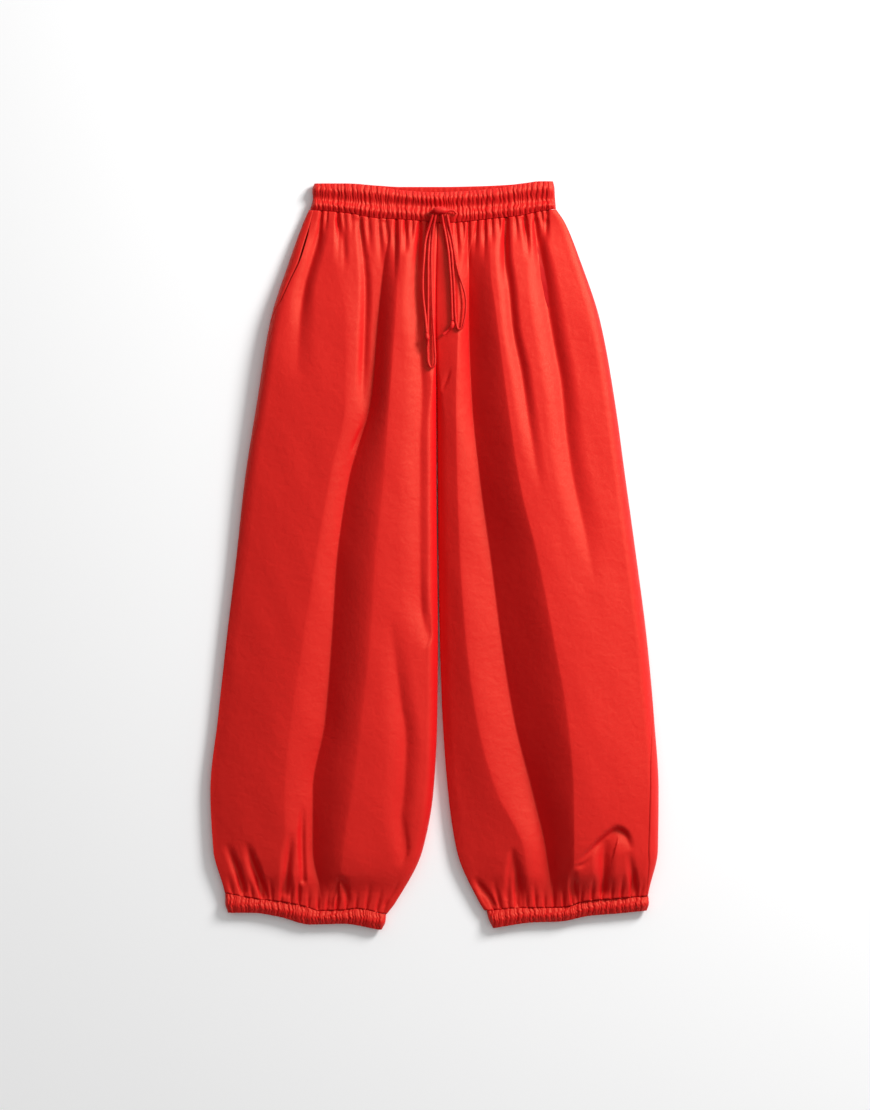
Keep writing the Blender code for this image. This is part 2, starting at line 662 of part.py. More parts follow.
def channel_grid(lower, upper, ends, profile, turn_z, roll, columns, middle=None):
    """A gathered channel's base points, over its lower and upper lines."""
    across = np.array([row[0] for row in profile])[:, None]
    height = np.array([row[PROFILE.index("height")] for row in profile])[:, None]
    left = smooth(ends, ENDS.index("left"), across)
    right = smooth(ends, ENDS.index("right"), across)
    x = left + (right - left) * np.linspace(0, 1, columns)[None, :]
    low = smooth(lower, 1, x)
    high = smooth(upper, 1, x)
    y = low + (high - low) * across
    if middle is not None:
        mid = smooth(middle, 1, x)
        y = np.where(
            across < 0.5,
            low + (mid - low) * across * 2,
            mid + (high - mid) * (across * 2 - 1),
        )
    inset = np.minimum(x - left, right - x)
    t = np.clip(inset / roll, 0, 1)
    z = turn_z + (height - turn_z) * np.sqrt(t * (2 - t))
    return np.stack([x, y, z], axis=2)


def add_gathered(name, points, relief, wall):
    """A channel whose outer face carries the gathers and whose inside is plain."""
    normals = panel_normals(points)
    normals *= np.sign(normals[:, :, 2:].mean())
    normals[:, 0] = (-1, 0, 0)
    normals[:, -1] = (1, 0, 0)
    normals = level_ends(normals)
    add_wall(name, points + relief[:, :, None] * normals, points - wall * normals)


def add_channel_back(name, seam, hem, ends, turn_z, side_steps=4, flat_steps=8):
    """The flat back of a channel, which rolls up at both ends to meet its front."""
    angle = np.linspace(0, math.pi / 2, side_steps + 1)
    inset = ROLL_UNDER * (1 - np.cos(angle))
    rise = (turn_z - SEAM_GAP) * (1 - np.sin(angle))
    across = np.array([0, 0.5, 1])[:, None]
    left = smooth(ends, ENDS.index("left"), across)
    right = smooth(ends, ENDS.index("right"), across)
    share = np.arange(1, flat_steps)[None, :] / flat_steps
    first = left + ROLL_UNDER
    last = right - ROLL_UNDER
    x = np.concatenate([left + inset, first + (last - first) * share, right - inset[::-1]], 1)
    sewn = smooth(straight(seam), 1, x)
    y = sewn + (smooth(hem, 1, x) - sewn) * across
    z = np.concatenate([rise, np.zeros(flat_steps - 1), rise[::-1]])
    points = np.stack([x, y, np.broadcast_to(z, x.shape)], axis=2)
    normals = panel_normals(points)
    normals *= -np.sign(normals[:, flat_steps:-flat_steps, 2:].mean())
    normals[:, 0] = (-1, 0, 0)
    normals[:, -1] = (1, 0, 0)
    add_wall(name, points, points - BAND_WALL * level_ends(normals))


def lifted(line, by):
    """A line moved along y by a seam's half gap."""
    return tuple((x, y + by) for x, y in line)


def add_waistband():
    seam = lifted(BAND_SEAM, CROSS_HALF_GAP)
    columns = 2 * BAND_GATHERS + 1
    points = channel_grid(seam, BAND_FRONT_TOP, BAND_END_ROWS, BAND_FRONT_PROFILE, BAND_TURN_Z,
                          BAND_ROLL, columns, BAND_MIDDLE)
    relief = gather_relief(BAND_GATHERS, columns, len(BAND_FRONT_PROFILE), BAND_FRONT_PROFILE)
    add_gathered("waistband_front", points, relief, BAND_WALL)
    add_channel_back("waistband_back", seam, BAND_BACK_TOP, BAND_END_ROWS, BAND_TURN_Z)


def add_cuff(side, seam, hem, ends):
    seam = lifted(seam, -CROSS_HALF_GAP)
    columns = 2 * CUFF_GATHERS + 1
    points = channel_grid(seam, hem, ends, CUFF_PROFILE, CUFF_TURN_Z, CUFF_ROLL, columns)
    relief = gather_relief(CUFF_GATHERS, columns, len(CUFF_PROFILE), CUFF_PROFILE)
    add_gathered(f"cuff_{side}_front", points, relief, BAND_WALL)
    add_channel_back(f"cuff_{side}_back", seam, hem, ends, CUFF_TURN_Z)


def smooth_route(route, step=CORD_STEP):
    """Points about a step apart on a curve through a route's own points."""
    route = np.array(route, float)
    chords = np.linalg.norm(np.diff(route[:, :3], axis=0), axis=1)
    along = np.concatenate([[0], np.cumsum(chords)])
    slopes = np.gradient(route, along, axis=0)
    at = np.linspace(0, along[-1], max(2, round(along[-1] / step) + 1))
    i = np.clip(np.searchsorted(along, at, side="right") - 1, 0, len(along) - 2)
    h = (along[i + 1] - along[i])[:, None]
    t = ((at - along[i])[:, None]) / h
    return (
        route[i] * (1 + 2 * t) * (1 - t) ** 2
        + slopes[i] * h * t * (1 - t) ** 2
        + route[i + 1] * t * t * (3 - 2 * t)
        - slopes[i + 1] * h * t * t * (1 - t)
    )


def add_tube(name, points, radii):
    """A round cord through the given points, as thick at each as its radius there."""
    curve = bpy.data.curves.new(name, "CURVE")
    curve.dimensions = "3D"
    curve.bevel_depth = 1 * MM
    curve.bevel_resolution = CORD_BEVEL
    curve.use_fill_caps = True
    spline = curve.splines.new("POLY")
    spline.points.add(len(points) - 1)
    for control, place, radius in zip(spline.points, points, radii):
        control.co = (*(place * MM), 1.0)
        control.radius = radius
    spline.use_smooth = True
    curve.materials.append(material(name + "_cord", CORD_RED, CLOTH_ROUGHNESS))
    cord = bpy.data.objects.new(name, curve)
    bpy.context.scene.collection.objects.link(cord)


def add_drawstring():
    for name, route in CORD_ROUTES.items():
        points = smooth_route(route)
        add_tube(name, points, np.full(len(points), CORD / 2))
    for name, route in KNOT_ROUTES.items():
        points = smooth_route(route, CORD / 2)
        add_tube(name, points[:, :3], points[:, 3])


def main():
    for old in list(bpy.data.objects):
        bpy.data.objects.remove(old)
    legs = (
        Leg("left", LEFT_LINES, LEFT_HEIGHTS, LEFT_CREASES, LEFT_SIDE_SEAM, LEFT_CUFF_SEAM,
            LEFT_STEPS),
        Leg("right", RIGHT_LINES, RIGHT_HEIGHTS, RIGHT_CREASES, RIGHT_SIDE_SEAM,
            RIGHT_CUFF_SEAM, RIGHT_STEPS),
    )
    for leg in legs:
        add_leg(leg)
    add_waistband()
    add_cuff("left", LEFT_CUFF_SEAM, LEFT_CUFF_HEM, LEFT_CUFF_ENDS)
    add_cuff("right", RIGHT_CUFF_SEAM, RIGHT_CUFF_HEM, RIGHT_CUFF_ENDS)
    add_drawstring()


if __name__ == "__main__":
    main()
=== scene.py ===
"""How the balloon trousers look: crisp red taffeta, gathered on elastic, laid flat front up.

Metres, +Z up, +Y to the waist; left and right are the viewer's. The tables hold millimetres.
Each panel is a thin shell on its own CAD solid, with the smaller folds, gathers and puckers in it.
"""

import logging
import math
from dataclasses import dataclass
from enum import Enum

import bpy
import numpy as np
from mathutils import Matrix, Vector


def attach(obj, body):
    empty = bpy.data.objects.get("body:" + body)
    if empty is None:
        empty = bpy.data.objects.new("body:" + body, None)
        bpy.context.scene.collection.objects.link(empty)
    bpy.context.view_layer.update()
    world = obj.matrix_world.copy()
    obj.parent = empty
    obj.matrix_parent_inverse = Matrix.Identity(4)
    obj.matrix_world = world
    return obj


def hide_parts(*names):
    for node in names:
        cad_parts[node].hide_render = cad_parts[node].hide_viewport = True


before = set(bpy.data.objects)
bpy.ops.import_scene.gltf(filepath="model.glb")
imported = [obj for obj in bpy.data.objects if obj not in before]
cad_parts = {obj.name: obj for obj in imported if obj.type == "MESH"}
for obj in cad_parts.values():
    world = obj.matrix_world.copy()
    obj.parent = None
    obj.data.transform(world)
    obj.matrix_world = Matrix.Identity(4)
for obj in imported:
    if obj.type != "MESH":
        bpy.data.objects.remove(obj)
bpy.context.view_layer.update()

log = logging.getLogger("balloon_trousers")

MM = 0.001
Rows = tuple[tuple[float, ...], ...]

# Seams, as in the solids.
SEAM_GAP = 0.3
HALF_GAP = SEAM_GAP / 2
CROSS_HALF_GAP = 0.25
LEG_PARTING = 0.2
LOWEST_VALLEY = 10.5
LOWEST_CREASE = 8.6
ROLL_UNDER = 13.0
LEFT_RISE = 1.5
RIGHT_RISE = 1.2
FALL_POWER = 1.4
CLOTH_THICKNESS = 0.7
BAND_THICKNESS = 1.6

LINES = ("y", "left_edge", "crest_1", "foot", "crest_2", "right_edge")
LEFT_LINES: Rows = (
    (473, -171, -126, -57, -39, 5),
    (455, -179, -129, -59, -42, 4.5),
    (403, -198, -132, -68, -48, 3),
    (321, -224, -121, -77, -53, 2),
    (212, -242, -122, -87, -61, 3),
    (103, -259, -143, -117, -69, 3),
    (-6, -271, -162, -133, -80, 4),
    (-115, -284, -179, -140, -87, 5),
    (-225, -296, -195, -149, -99, 4),
    (-320, -306, -204, -166, -111, -1),
    (-402, -302, -203, -166, -124, -16),
    (-474, -285, -184, -154, -129, -53),
    (-491, -285, -184, -154, -129, -66),
)
RIGHT_LINES: Rows = (
    (473, 5, 21, 59, 81, 166),
    (455, 4.5, 24, 58, 78, 178),
    (403, 3, 31, 47, 76, 199),
    (321, 2, 32, 47, 85, 226),
    (212, 3, 29, 51, 99, 246),
    (103, 4, 31, 62, 115, 261),
    (-6, 5, 35, 77, 141, 276),
    (-115, 7, 43, 91, 162, 290),
    (-225, 11, 58, 109, 181, 300),
    (-320, 18, 84, 133, 189, 306),
    (-402, 30, 122, 152, 190, 305),
    (-474, 61, 130, 160, 188, 291),
    (-491, 72, 130, 160, 188, 291),
)
LEFT_HEIGHTS: Rows = (
    (473, 12, 13, 12, 13, 12),
    (455, 13, 14.5, 13.5, 14.5, 13),
    (403, 18, 21, 15, 25, 20),
    (321, 24, 26, 16, 33, 25),
    (250, 25, 28, 16, 37, 27),
    (212, 24, 29, 17, 39, 28),
    (103, 20, 30, 19, 43, 31),
    (-6, 17, 31, 20, 46, 32),
    (-115, 15, 31, 20, 47, 32),
    (-225, 12.5, 32, 20, 46, 30),
    (-320, 12.5, 31, 18, 42, 26),
    (-402, 12, 27, 15, 35, 20),
    (-432, 12, 24, 14, 29, 17),
    (-462, 11.5, 15, 12, 16, 12),
    (-491, 11, 12, 11, 12, 11),
)
RIGHT_HEIGHTS: Rows = (
    (473, 12, 13, 12, 13, 12),
    (455, 13, 14.5, 13.5, 14.5, 12.5),
    (403, 18, 22, 14, 26, 18),
    (321, 21, 25, 13, 35, 24),
    (250, 20, 26, 13, 39, 25),
    (212, 19, 26, 13, 41, 26),
    (103, 16, 26, 15, 46, 27),
    (-6, 14, 27, 15, 49, 28),
    (-115, 13, 29, 16, 51.5, 27),
    (-225, 13, 30, 15, 51, 26),
    (-320, 13, 29, 14, 48, 26),
    (-402, 12.5, 26, 14, 41, 23),
    (-432, 12, 23, 13, 34, 20),
    (-462, 12, 15, 12, 18, 14),
    (-491, 11, 12, 11, 12, 11),
)
EDGES = ("y", "outer_z", "outer_roll", "inner_z", "inner_roll", "back_inner_z")
EDGE_ROWS: Rows = (
    (473, 8, 9, 10, 3, 0),
    (403, 9, 13, 17, 3, 0),
    (321, 11, 16, 20, 3, 0),
    (265, 12, 16, 17, 4, 0),
    (227, 12, 16, 12, 8, 11.7),
    (180, 12, 16, 11, 13, 10.7),
    (-402, 12, 16, 11, 14, 10.7),
    (-491, 8, 10, 8, 10, 7.7),
)
CROTCH_Y = 227
SEAM = ("y", "inset", "open")
LEFT_SIDE_SEAM: Rows = (
    (473, 6, 0.3),
    (448, 11, 0.3),
    (436, 12, 1.5),
    (406, 13.5, 1.6),
    (376, 10, 1.5),
    (349, 7, 1.4),
    (336, 4, 0.3),
    (308, 0, 0.3),
)
RIGHT_SIDE_SEAM: Rows = (
    (-190, 0, 0.3),
    (-231, 4, 0.3),
    (-306, 12, 0.3),
    (-402, 13.5, 0.3),
    (-422, 10, 0.3),
    (-457, 3, 0.3),
    (-485, 0, 0.3),
)

# Folds pressed into the fronts, as in the solids: x, y, depth, and width on the left and right.
LEFT_CREASES: dict[str, Rows] = {
    "pocket_trough": ((-152, 461, 0, 12, 12), (-163, 417, 7, 14, 12), (-178, 362, 7, 16, 14),
                      (-184, 308, 4, 20, 20), (-186, 240, 0, 24, 24)),
    "gather_1": ((-132, 458, 2, 4, 4), (-124, 424, 3, 5, 5), (-122, 387, 0, 6, 6)),
    "hip_fold": ((-106, 457, 2, 4, 4), (-99, 424, 3, 6, 6), (-94, 362, 5, 8, 8),
                 (-96, 281, 5, 9, 8), (-99, 199, 0, 9, 8)),
    "gather_2": ((-69, 455, 2, 4, 4), (-63, 424, 0, 5, 5)),
    "gather_3": ((-40, 455, 2, 4, 4), (-39, 410, 0, 5, 5)),
    "inner_fold": ((-18, 452, 2, 5, 4), (-24, 403, 6, 14, 10), (-25, 349, 6, 18, 12),
                   (-20, 281, 4.5, 20, 12), (-17, 219, 4, 22, 13), (-20, 144, 3.5, 24, 14),
                   (-20, 21, 3.5, 26, 14), (-19, -61, 5, 24, 12), (-9, -119, 0, 20, 8)),
    "shin_fold": ((-60, -80, 0, 16, 18), (-52, -146, 3, 20, 20), (-46, -197, 5.5, 24, 20),
                  (-39, -252, 6.5, 26, 20), (-42, -320, 6.5, 26, 20), (-46, -361, 5, 22, 18),
                  (-41, -425, 0, 14, 14)),
    "hem_1": ((-285, -391, 0, 6, 8), (-271, -427, 5, 7, 8), (-261, -457, 4, 6, 6)),
    "hem_2": ((-257, -391, 0, 8, 8), (-244, -432, 8, 9, 9), (-231, -466, 5, 7, 7)),
    "hem_3": ((-195, -377, 0, 8, 8), (-200, -418, 6, 9, 8), (-203, -461, 4, 7, 7)),
    "hem_4": ((-179, -342, 0, 5, 4), (-181, -388, 4, 6, 5), (-179, -443, 4, 5, 5)),
}
RIGHT_CREASES: dict[str, Rows] = {
    "gather_1": ((98, 463, 2, 5, 5), (96, 417, 6, 12, 9), (102, 362, 7, 14, 10),
                 (107, 308, 7, 14, 10), (118, 253, 7, 16, 12), (126, 199, 5, 16, 12),
                 (137, 130, 2, 14, 12), (145, 83, 0, 12, 12)),
    "hip_fold": ((139, 455, 3, 6, 6), (144, 417, 8, 16, 12), (151, 362, 10, 22, 18),
                 (162, 294, 10, 24, 20), (173, 233, 9, 24, 20), (179, 171, 8, 24, 22),
                 (189, 103, 6, 24, 24), (204, 35, 4, 24, 26), (220, -47, 0, 24, 26)),
    "gather_2": ((122, 458, 3, 5, 5), (129, 409, 0, 6, 6)),
    "gather_3": ((152, 455, 2, 5, 5), (147, 420, 0, 5, 5)),
    "hem_1": ((106, -397, 0, 6, 10), (113, -443, 6, 8, 12), (117, -477, 4, 8, 10)),
    "hem_2": ((189, -424, 0, 6, 6), (190, -450, 5, 7, 7), (195, -473, 3, 6, 6)),
    "hem_3": ((234, -386, 0, 10, 14), (230, -418, 8, 14, 16), (231, -457, 5, 12, 14)),
    "hem_4": ((264, -402, 0, 6, 7), (271, -443, 5, 7, 7), (275, -468, 3, 6, 6)),
    "hem_5": ((54, -437, 0, 8, 8), (70, -465, 5, 8, 8), (80, -481, 3, 6, 6)),
}

# Smaller creases that only the cloth shows, each as x, y, depth, width on the left and right.
LEFT_FINE: dict[str, Rows] = {
    "hip_flare": ((-95, 185, 0, 4, 5), (-105, 160, 2, 5, 6), (-115, 137, 0, 4, 5)),
    "centre_j": ((-3, 300, 0, 5, 3), (-3, 262, 1.2, 6, 3), (2, 232, 0, 4, 3)),
    "hook": ((-8, -60, 0, 12, 4), (-7, -108, 2.5, 16, 4), (-16, -128, 0, 12, 4)),
    "shin_hook": ((-44, -350, 0, 16, 8), (-38, -400, 2.5, 18, 6), (-50, -425, 0, 14, 5)),
    "hem_arch": ((-142, -477, 2, 5, 8), (-129, -444, 4, 5, 12), (-117, -472, 1.5, 9, 5)),
    "hem_slip": ((-47, -443, 0, 3, 3), (-58, -462, 1.8, 4, 3), (-68, -477, 1, 3, 3)),
}
RIGHT_FINE: dict[str, Rows] = {
    "centre_j": ((22, 256, 0, 5, 3), (17, 240, 1.5, 5, 3), (11, 227, 1, 4, 3)),
    "hem_hook": ((186, -424, 0, 5, 3), (200, -421, 2.5, 6, 3), (215, -410, 0, 5, 3)),
    "hem_arch": ((192, -420, 0, 22, 7), (212, -402, 5, 32, 7), (230, -386, 8, 42, 8),
                 (248, -374, 8, 44, 8), (259, -380, 6, 40, 8), (268, -402, 0, 22, 7)),
    "hem_tip": ((107, -397, 0, 6, 6), (102, -430, 3.5, 6, 14), (100, -465, 2, 6, 16)),
    "hem_slip": ((53, -440, 0, 5, 4), (68, -460, 2, 6, 4), (83, -477, 1, 4, 4)),
}

# Gathers that run out of a seam: x at the seam, drift along x, length, depth, width.
GATHER = ("x", "drift", "length", "depth", "width")
LEFT_WAIST_GATHERS: Rows = (
    (-154, -6, 46, 1.8, 3.2), (-146, -3, 24, 1.1, 2.2), (-132, 2, 62, 2.3, 3.4),
    (-123.5, 3, 36, 1.5, 2.4), (-113, 2, 26, 1.2, 2.4), (-101.7, 5, 52, 2.2, 3.2),
    (-90, 2, 42, 1.7, 3), (-76, 4, 56, 2.2, 3.2), (-65.5, 2, 34, 1.5, 2.6),
    (-52.6, -2, 74, 2.8, 4.2), (-40, 1, 40, 1.8, 3), (-30, -1, 26, 1.2, 2.4),
    (-20, -3, 58, 2.2, 3.6), (-9, -1, 30, 1.4, 2.4),
)
RIGHT_WAIST_GATHERS: Rows = (
    (15.7, 4, 44, 1.8, 3), (30, 3, 52, 2, 3.2), (39, 1, 24, 1.2, 2.4), (47, -3, 60, 2.2, 3.2),
    (58.7, -4, 40, 1.8, 2.8), (68.9, -1, 48, 2, 3), (78.5, 0, 30, 1.6, 2.6),
    (88, 1, 24, 1.2, 2.4), (98, -3, 80, 2.8, 4.4), (111, 2, 30, 1.4, 2.6),
    (123.5, 5, 54, 2.2, 3.2), (136.6, 5, 60, 2.2, 3.4), (146, 3, 28, 1.4, 2.4),
    (154, -2, 38, 1.8, 3),
)
LEFT_HEM_GATHERS: Rows = (
    (-276, -6, 22, 1.2, 3), (-262, -8, 40, 1.8, 3.4), (-249, -3, 20, 1.2, 2.6),
    (-236, -6, 44, 2, 3.6), (-222, -2, 26, 1.4, 2.8), (-210, 4, 34, 1.6, 3),
    (-197, 3, 24, 1.4, 2.6), (-186, 1, 44, 2, 3.2), (-173, 2, 24, 1.2, 2.6),
    (-160, 2, 30, 1.5, 2.8), (-148, 5, 26, 1.5, 2.8), (-134, 4, 36, 2, 3.2),
    (-121, 2, 24, 1.4, 2.6), (-108, 3, 20, 1.2, 2.6), (-94, 6, 30, 1.6, 3),
    (-80, 8, 28, 1.5, 2.8), (-70, 6, 20, 1.2, 2.4),
)
RIGHT_HEM_GATHERS: Rows = (
    (80, -8, 22, 1.2, 2.6), (90, -10, 36, 1.8, 3.2), (101, -4, 24, 1.3, 2.6),
    (112, -3, 42, 2, 3.4), (126, -1, 24, 1.3, 2.8), (138, -2, 30, 1.5, 3),
    (150, 0, 22, 1.3, 2.6), (163, -2, 32, 1.6, 3), (176, -1, 24, 1.4, 2.6),
    (188, -3, 36, 1.9, 3.2), (200, 1, 24, 1.4, 2.8), (214, 3, 30, 1.6, 3),
    (228, 4, 38, 1.8, 3.4), (241, 2, 24, 1.3, 2.6), (254, 3, 28, 1.5, 2.8),
    (267, 5, 34, 1.6, 3), (281, 5, 22, 1.2, 2.6),
)
# Where the waistband's gathers lie, and how deep each is as a share of the deepest.
UPPER_CHANNEL_GATHERS: Rows = (
    (-157, 0.9), (-150, 0.5), (-141, 0.6), (-133, 0.9), (-128.3, 0.6), (-123.5, 0.9),
    (-112.6, 1), (-105.8, 0.7), (-96.2, 0.9), (-88.7, 0.8), (-79.9, 1), (-73.5, 0.4),
    (-67.6, 0.9), (-63.5, 0.5), (-55.3, 0.9), (-50.5, 0.6), (-40, 0.6), (-30.7, 1),
    (-24.5, 0.5), (-18.4, 0.9), (-12.3, 0.7), (-6.5, 0.4), (-0.7, 0.9), (5.5, 0.5),
    (12.3, 1), (19.1, 0.8), (25, 0.5), (30.7, 0.9), (36.9, 0.6), (45, 1), (51, 0.5),
    (56.6, 0.9), (63.5, 0.6), (70.3, 1), (78, 0.6), (88, 0.9), (92.1, 0.6), (99, 0.5),
    (107.2, 0.9), (112.6, 0.7), (119, 0.5), (125.5, 0.6), (131.7, 0.9), (139.2, 0.8),
    (146.7, 1), (153, 0.6),
)
LOWER_CHANNEL_GATHERS: Rows = (
    (-160, 0.7), (-154, 0.9), (-146, 0.5), (-139, 0.7), (-132, 1), (-123.5, 0.8),
    (-116, 0.5), (-109, 0.7), (-101.7, 1), (-96, 0.4), (-90, 0.9), (-83, 0.6), (-76, 1),
    (-70.5, 0.4), (-65.5, 0.8), (-59, 0.5), (-52.6, 1), (-46, 0.5), (-40, 0.9), (-33, 0.6),
    (-27, 0.6), (-20, 1), (-13, 0.5), (-7, 0.7), (-0.7, 0.9), (7, 0.6), (15.7, 1), (22, 0.5),
    (30, 0.9), (37, 0.5), (42, 0.6), (47, 0.9), (53, 0.4), (58.7, 0.9), (64, 0.5), (68.9, 0.9),
    (78.5, 1), (86, 0.5), (93.5, 0.8), (99.8, 1), (108, 0.6), (116, 0.6), (123.5, 0.9),
    (130, 0.5), (136.6, 0.9), (145, 0.6), (152, 0.9), (159, 0.6),
)

BAND_SEAM: Rows = (
    (-171, 472), (-143, 470), (-115, 467), (-81, 461), (-47, 459), (-20, 457), (8, 454),
    (35, 455), (62, 458), (89, 461), (117, 464), (144, 470), (166, 473),
)
BAND_MIDDLE: Rows = (
    (-163, 488), (-129, 485), (-81, 481), (-47, 479), (8, 476), (48, 477), (89, 480),
    (117, 484), (158, 486),
)
BAND_FRONT_TOP: Rows = (
    (-164, 508), (-122, 508), (-81, 505), (-47, 499), (1, 496), (48, 498), (89, 502),
    (117, 507), (144, 511), (162, 511),
)
BAND_BACK_TOP: Rows = (
    (-164, 508), (-122, 508), (-81, 506), (-47, 504), (8, 504), (62, 505), (103, 507),
    (144, 511), (162, 511),
)
BAND_END_ROWS: Rows = ((0, -170, 166), (0.45, -166, 164.5), (0.75, -167, 164), (1, -164, 162))
BAND_FRONT_PROFILE: Rows = ((0, 12.0, 0.7), (0.22, 15.5, 1.0), (0.5, 11.6, 0.6), (0.78, 15.5, 1.0),
                            (1, 11.0, 0.8))
BAND_TURN_Z = 8.0
BAND_ROLL = 9.0
LEFT_CUFF_SEAM: Rows = (
    (-285, -461), (-240, -469), (-200, -474), (-174, -480), (-158, -485), (-125, -484),
    (-108, -482), (-66, -490),
)
LEFT_CUFF_HEM: Rows = (
    (-282, -488), (-249, -488), (-214, -493), (-169, -504), (-125, -503), (-76, -511),
)
RIGHT_CUFF_SEAM: Rows = (
    (73, -485), (118, -481), (153, -481), (177, -480), (205, -472), (249, -468), (292, -465),
)
RIGHT_CUFF_HEM: Rows = (
    (80, -509), (136, -501), (170, -500), (212, -492), (249, -489), (289, -485),
)
LEFT_CUFF_ENDS: Rows = ((0, -286, -66), (0.5, -286, -67), (1, -282, -72))
RIGHT_CUFF_ENDS: Rows = ((0, 71, 292), (0.5, 74, 293), (1, 80, 290))
CUFF_PROFILE: Rows = ((0, 11.5, 0.6), (0.5, 14.5, 1.0), (1, 10.0, 0.8))
CUFF_TURN_Z = 7.5
CUFF_ROLL = 9.0

LEG_TOP = 455
LEG_BOTTOM = -474
TOP_BLEND = 80
BOTTOM_BLEND = 70

# The drawstring's routes, in metres, as in the solids.
CORD_DIAMETER = 0.0034
CORD_ROUTES: dict[str, Rows] = {
    "drawstring_loop_left": (
        (-0.0005, 0.4647, 0.0188), (-0.0028, 0.452, 0.0168), (-0.0063, 0.433, 0.0191),
        (-0.0082, 0.410, 0.0237), (-0.0086, 0.376, 0.0275), (-0.0088, 0.330, 0.0299),
        (-0.0092, 0.303, 0.0308), (-0.0095, 0.287, 0.0310), (-0.0092, 0.272, 0.0313),
        (-0.0078, 0.261, 0.0316), (-0.0043, 0.2555, 0.0320), (-0.0006, 0.258, 0.0322),
        (0.0008, 0.267, 0.0318), (0.0002, 0.282, 0.0312), (-0.0012, 0.305, 0.0303),
        (-0.0022, 0.322, 0.0296), (-0.0036, 0.360, 0.0282), (-0.004, 0.390, 0.0259),
        (-0.004, 0.417, 0.0225), (-0.0026, 0.436, 0.0203), (-0.0005, 0.452, 0.0202),
        (0.0018, 0.4647, 0.0225),
    ),
    "drawstring_tail_left": (
        (-0.0025, 0.4647, 0.0225), (-0.0049, 0.456, 0.0208), (-0.0088, 0.443, 0.0189),
        (-0.0114, 0.433, 0.0199), (-0.0142, 0.406, 0.0247), (-0.016, 0.369, 0.0278),
        (-0.0148, 0.345, 0.0291), (-0.0132, 0.332, 0.0303), (-0.0115, 0.315, 0.0337),
        (-0.0104, 0.303, 0.0357),
    ),
    "drawstring_loop_right": (
        (0.0138, 0.4647, 0.0188), (0.0163, 0.450, 0.0180), (0.0198, 0.433, 0.0204),
        (0.0234, 0.412, 0.0240), (0.0248, 0.393, 0.0254), (0.0265, 0.370, 0.0262),
        (0.0274, 0.349, 0.0268), (0.0284, 0.328, 0.0273), (0.0298, 0.316, 0.0276),
        (0.033, 0.308, 0.0277), (0.037, 0.3095, 0.0278), (0.0403, 0.3187, 0.0278),
        (0.0426, 0.333, 0.0272), (0.043, 0.346, 0.0263), (0.0415, 0.357, 0.0266),
        (0.038, 0.369, 0.0261), (0.0335, 0.382, 0.0254), (0.0298, 0.397, 0.0248),
        (0.0274, 0.412, 0.0239), (0.0239, 0.433, 0.0209), (0.0205, 0.448, 0.0208),
        (0.017, 0.4647, 0.0225),
    ),
    "drawstring_tail_right": (
        (0.010, 0.4647, 0.0225), (0.0121, 0.452, 0.0198), (0.0155, 0.436, 0.0197),
        (0.0192, 0.412, 0.0237), (0.0206, 0.395, 0.0251), (0.0223, 0.372, 0.0260),
        (0.0233, 0.351, 0.0267), (0.024, 0.330, 0.0272), (0.0243, 0.3205, 0.0274),
    ),
}
# The bow and the tail knots: x, y, z and radius, in metres.
KNOT_ROUTES: dict[str, Rows] = {
    "drawstring_knot": (
        (-0.007, 0.468, 0.0194, 0.0017), (-0.003, 0.469, 0.0206, 0.0022),
        (0.001, 0.470, 0.0220, 0.0046), (0.0075, 0.4703, 0.0226, 0.0052),
        (0.014, 0.4703, 0.0220, 0.0046), (0.0185, 0.4705, 0.0208, 0.0022),
        (0.026, 0.470, 0.0200, 0.0017), (0.0305, 0.4655, 0.0194, 0.0017),
    ),
    "tail_knot_left": (
        (-0.0103, 0.3026, 0.0359, 0.0017), (-0.0099, 0.299, 0.0364, 0.0030),
        (-0.0095, 0.295, 0.0366, 0.0030), (-0.0092, 0.2915, 0.0362, 0.0017),
        (-0.009, 0.285, 0.0354, 0.0019),
    ),
    "tail_knot_right": (
        (0.0243, 0.3192, 0.0276, 0.0016), (0.0243, 0.315, 0.0286, 0.0030),
        (0.0234, 0.3115, 0.0288, 0.0030), (0.020, 0.308, 0.0278, 0.0017),
        (0.012, 0.301, 0.0270, 0.0022),
    ),
}


class Side(Enum):
    """Which of the two legs, as the viewer sees them."""

    LEFT = "left"
    RIGHT = "right"


class Edge(Enum):
    """Which edge of a leg, as the viewer sees it."""

    LEFT = "left_edge"
    RIGHT = "right_edge"

    @property
    def inward(self) -> int:
        """The sign of x from this edge into the leg."""
        return 1 if self is Edge.LEFT else -1


def srgb(hex_colour: str) -> tuple[float, float, float, float]:
    """An sRGB hex value as a linear colour.

    Args:
        hex_colour: six hex digits.

    Returns:
        Linear red, green, blue and an alpha of 1.
    """
    channels = [int(hex_colour[i:i + 2], 16) / 255 for i in (0, 2, 4)]
    linear = [c / 12.92 if c <= 0.04045 else ((c + 0.055) / 1.055) ** 2.4 for c in channels]
    return (*linear, 1.0)


def add_node(tree: bpy.types.NodeTree, kind: str, inputs: dict | None = None,
             **settings: object) -> bpy.types.Node:
    """Adds a node with its settings, values and links.

    Args:
        tree: the tree that it goes into.
        kind: the node's bl_idname.
        inputs: socket name or index to a value, or to the output socket that feeds it.
        settings: the node's own properties.

    Returns:
        The new node.
    """
    node = tree.nodes.new(kind)
    for name, value in settings.items():
        setattr(node, name, value)
    for key, value in (inputs or {}).items():
        if isinstance(value, bpy.types.NodeSocket):
            tree.links.new(value, node.inputs[key])
        else:
            node.inputs[key].default_value = value
    return node


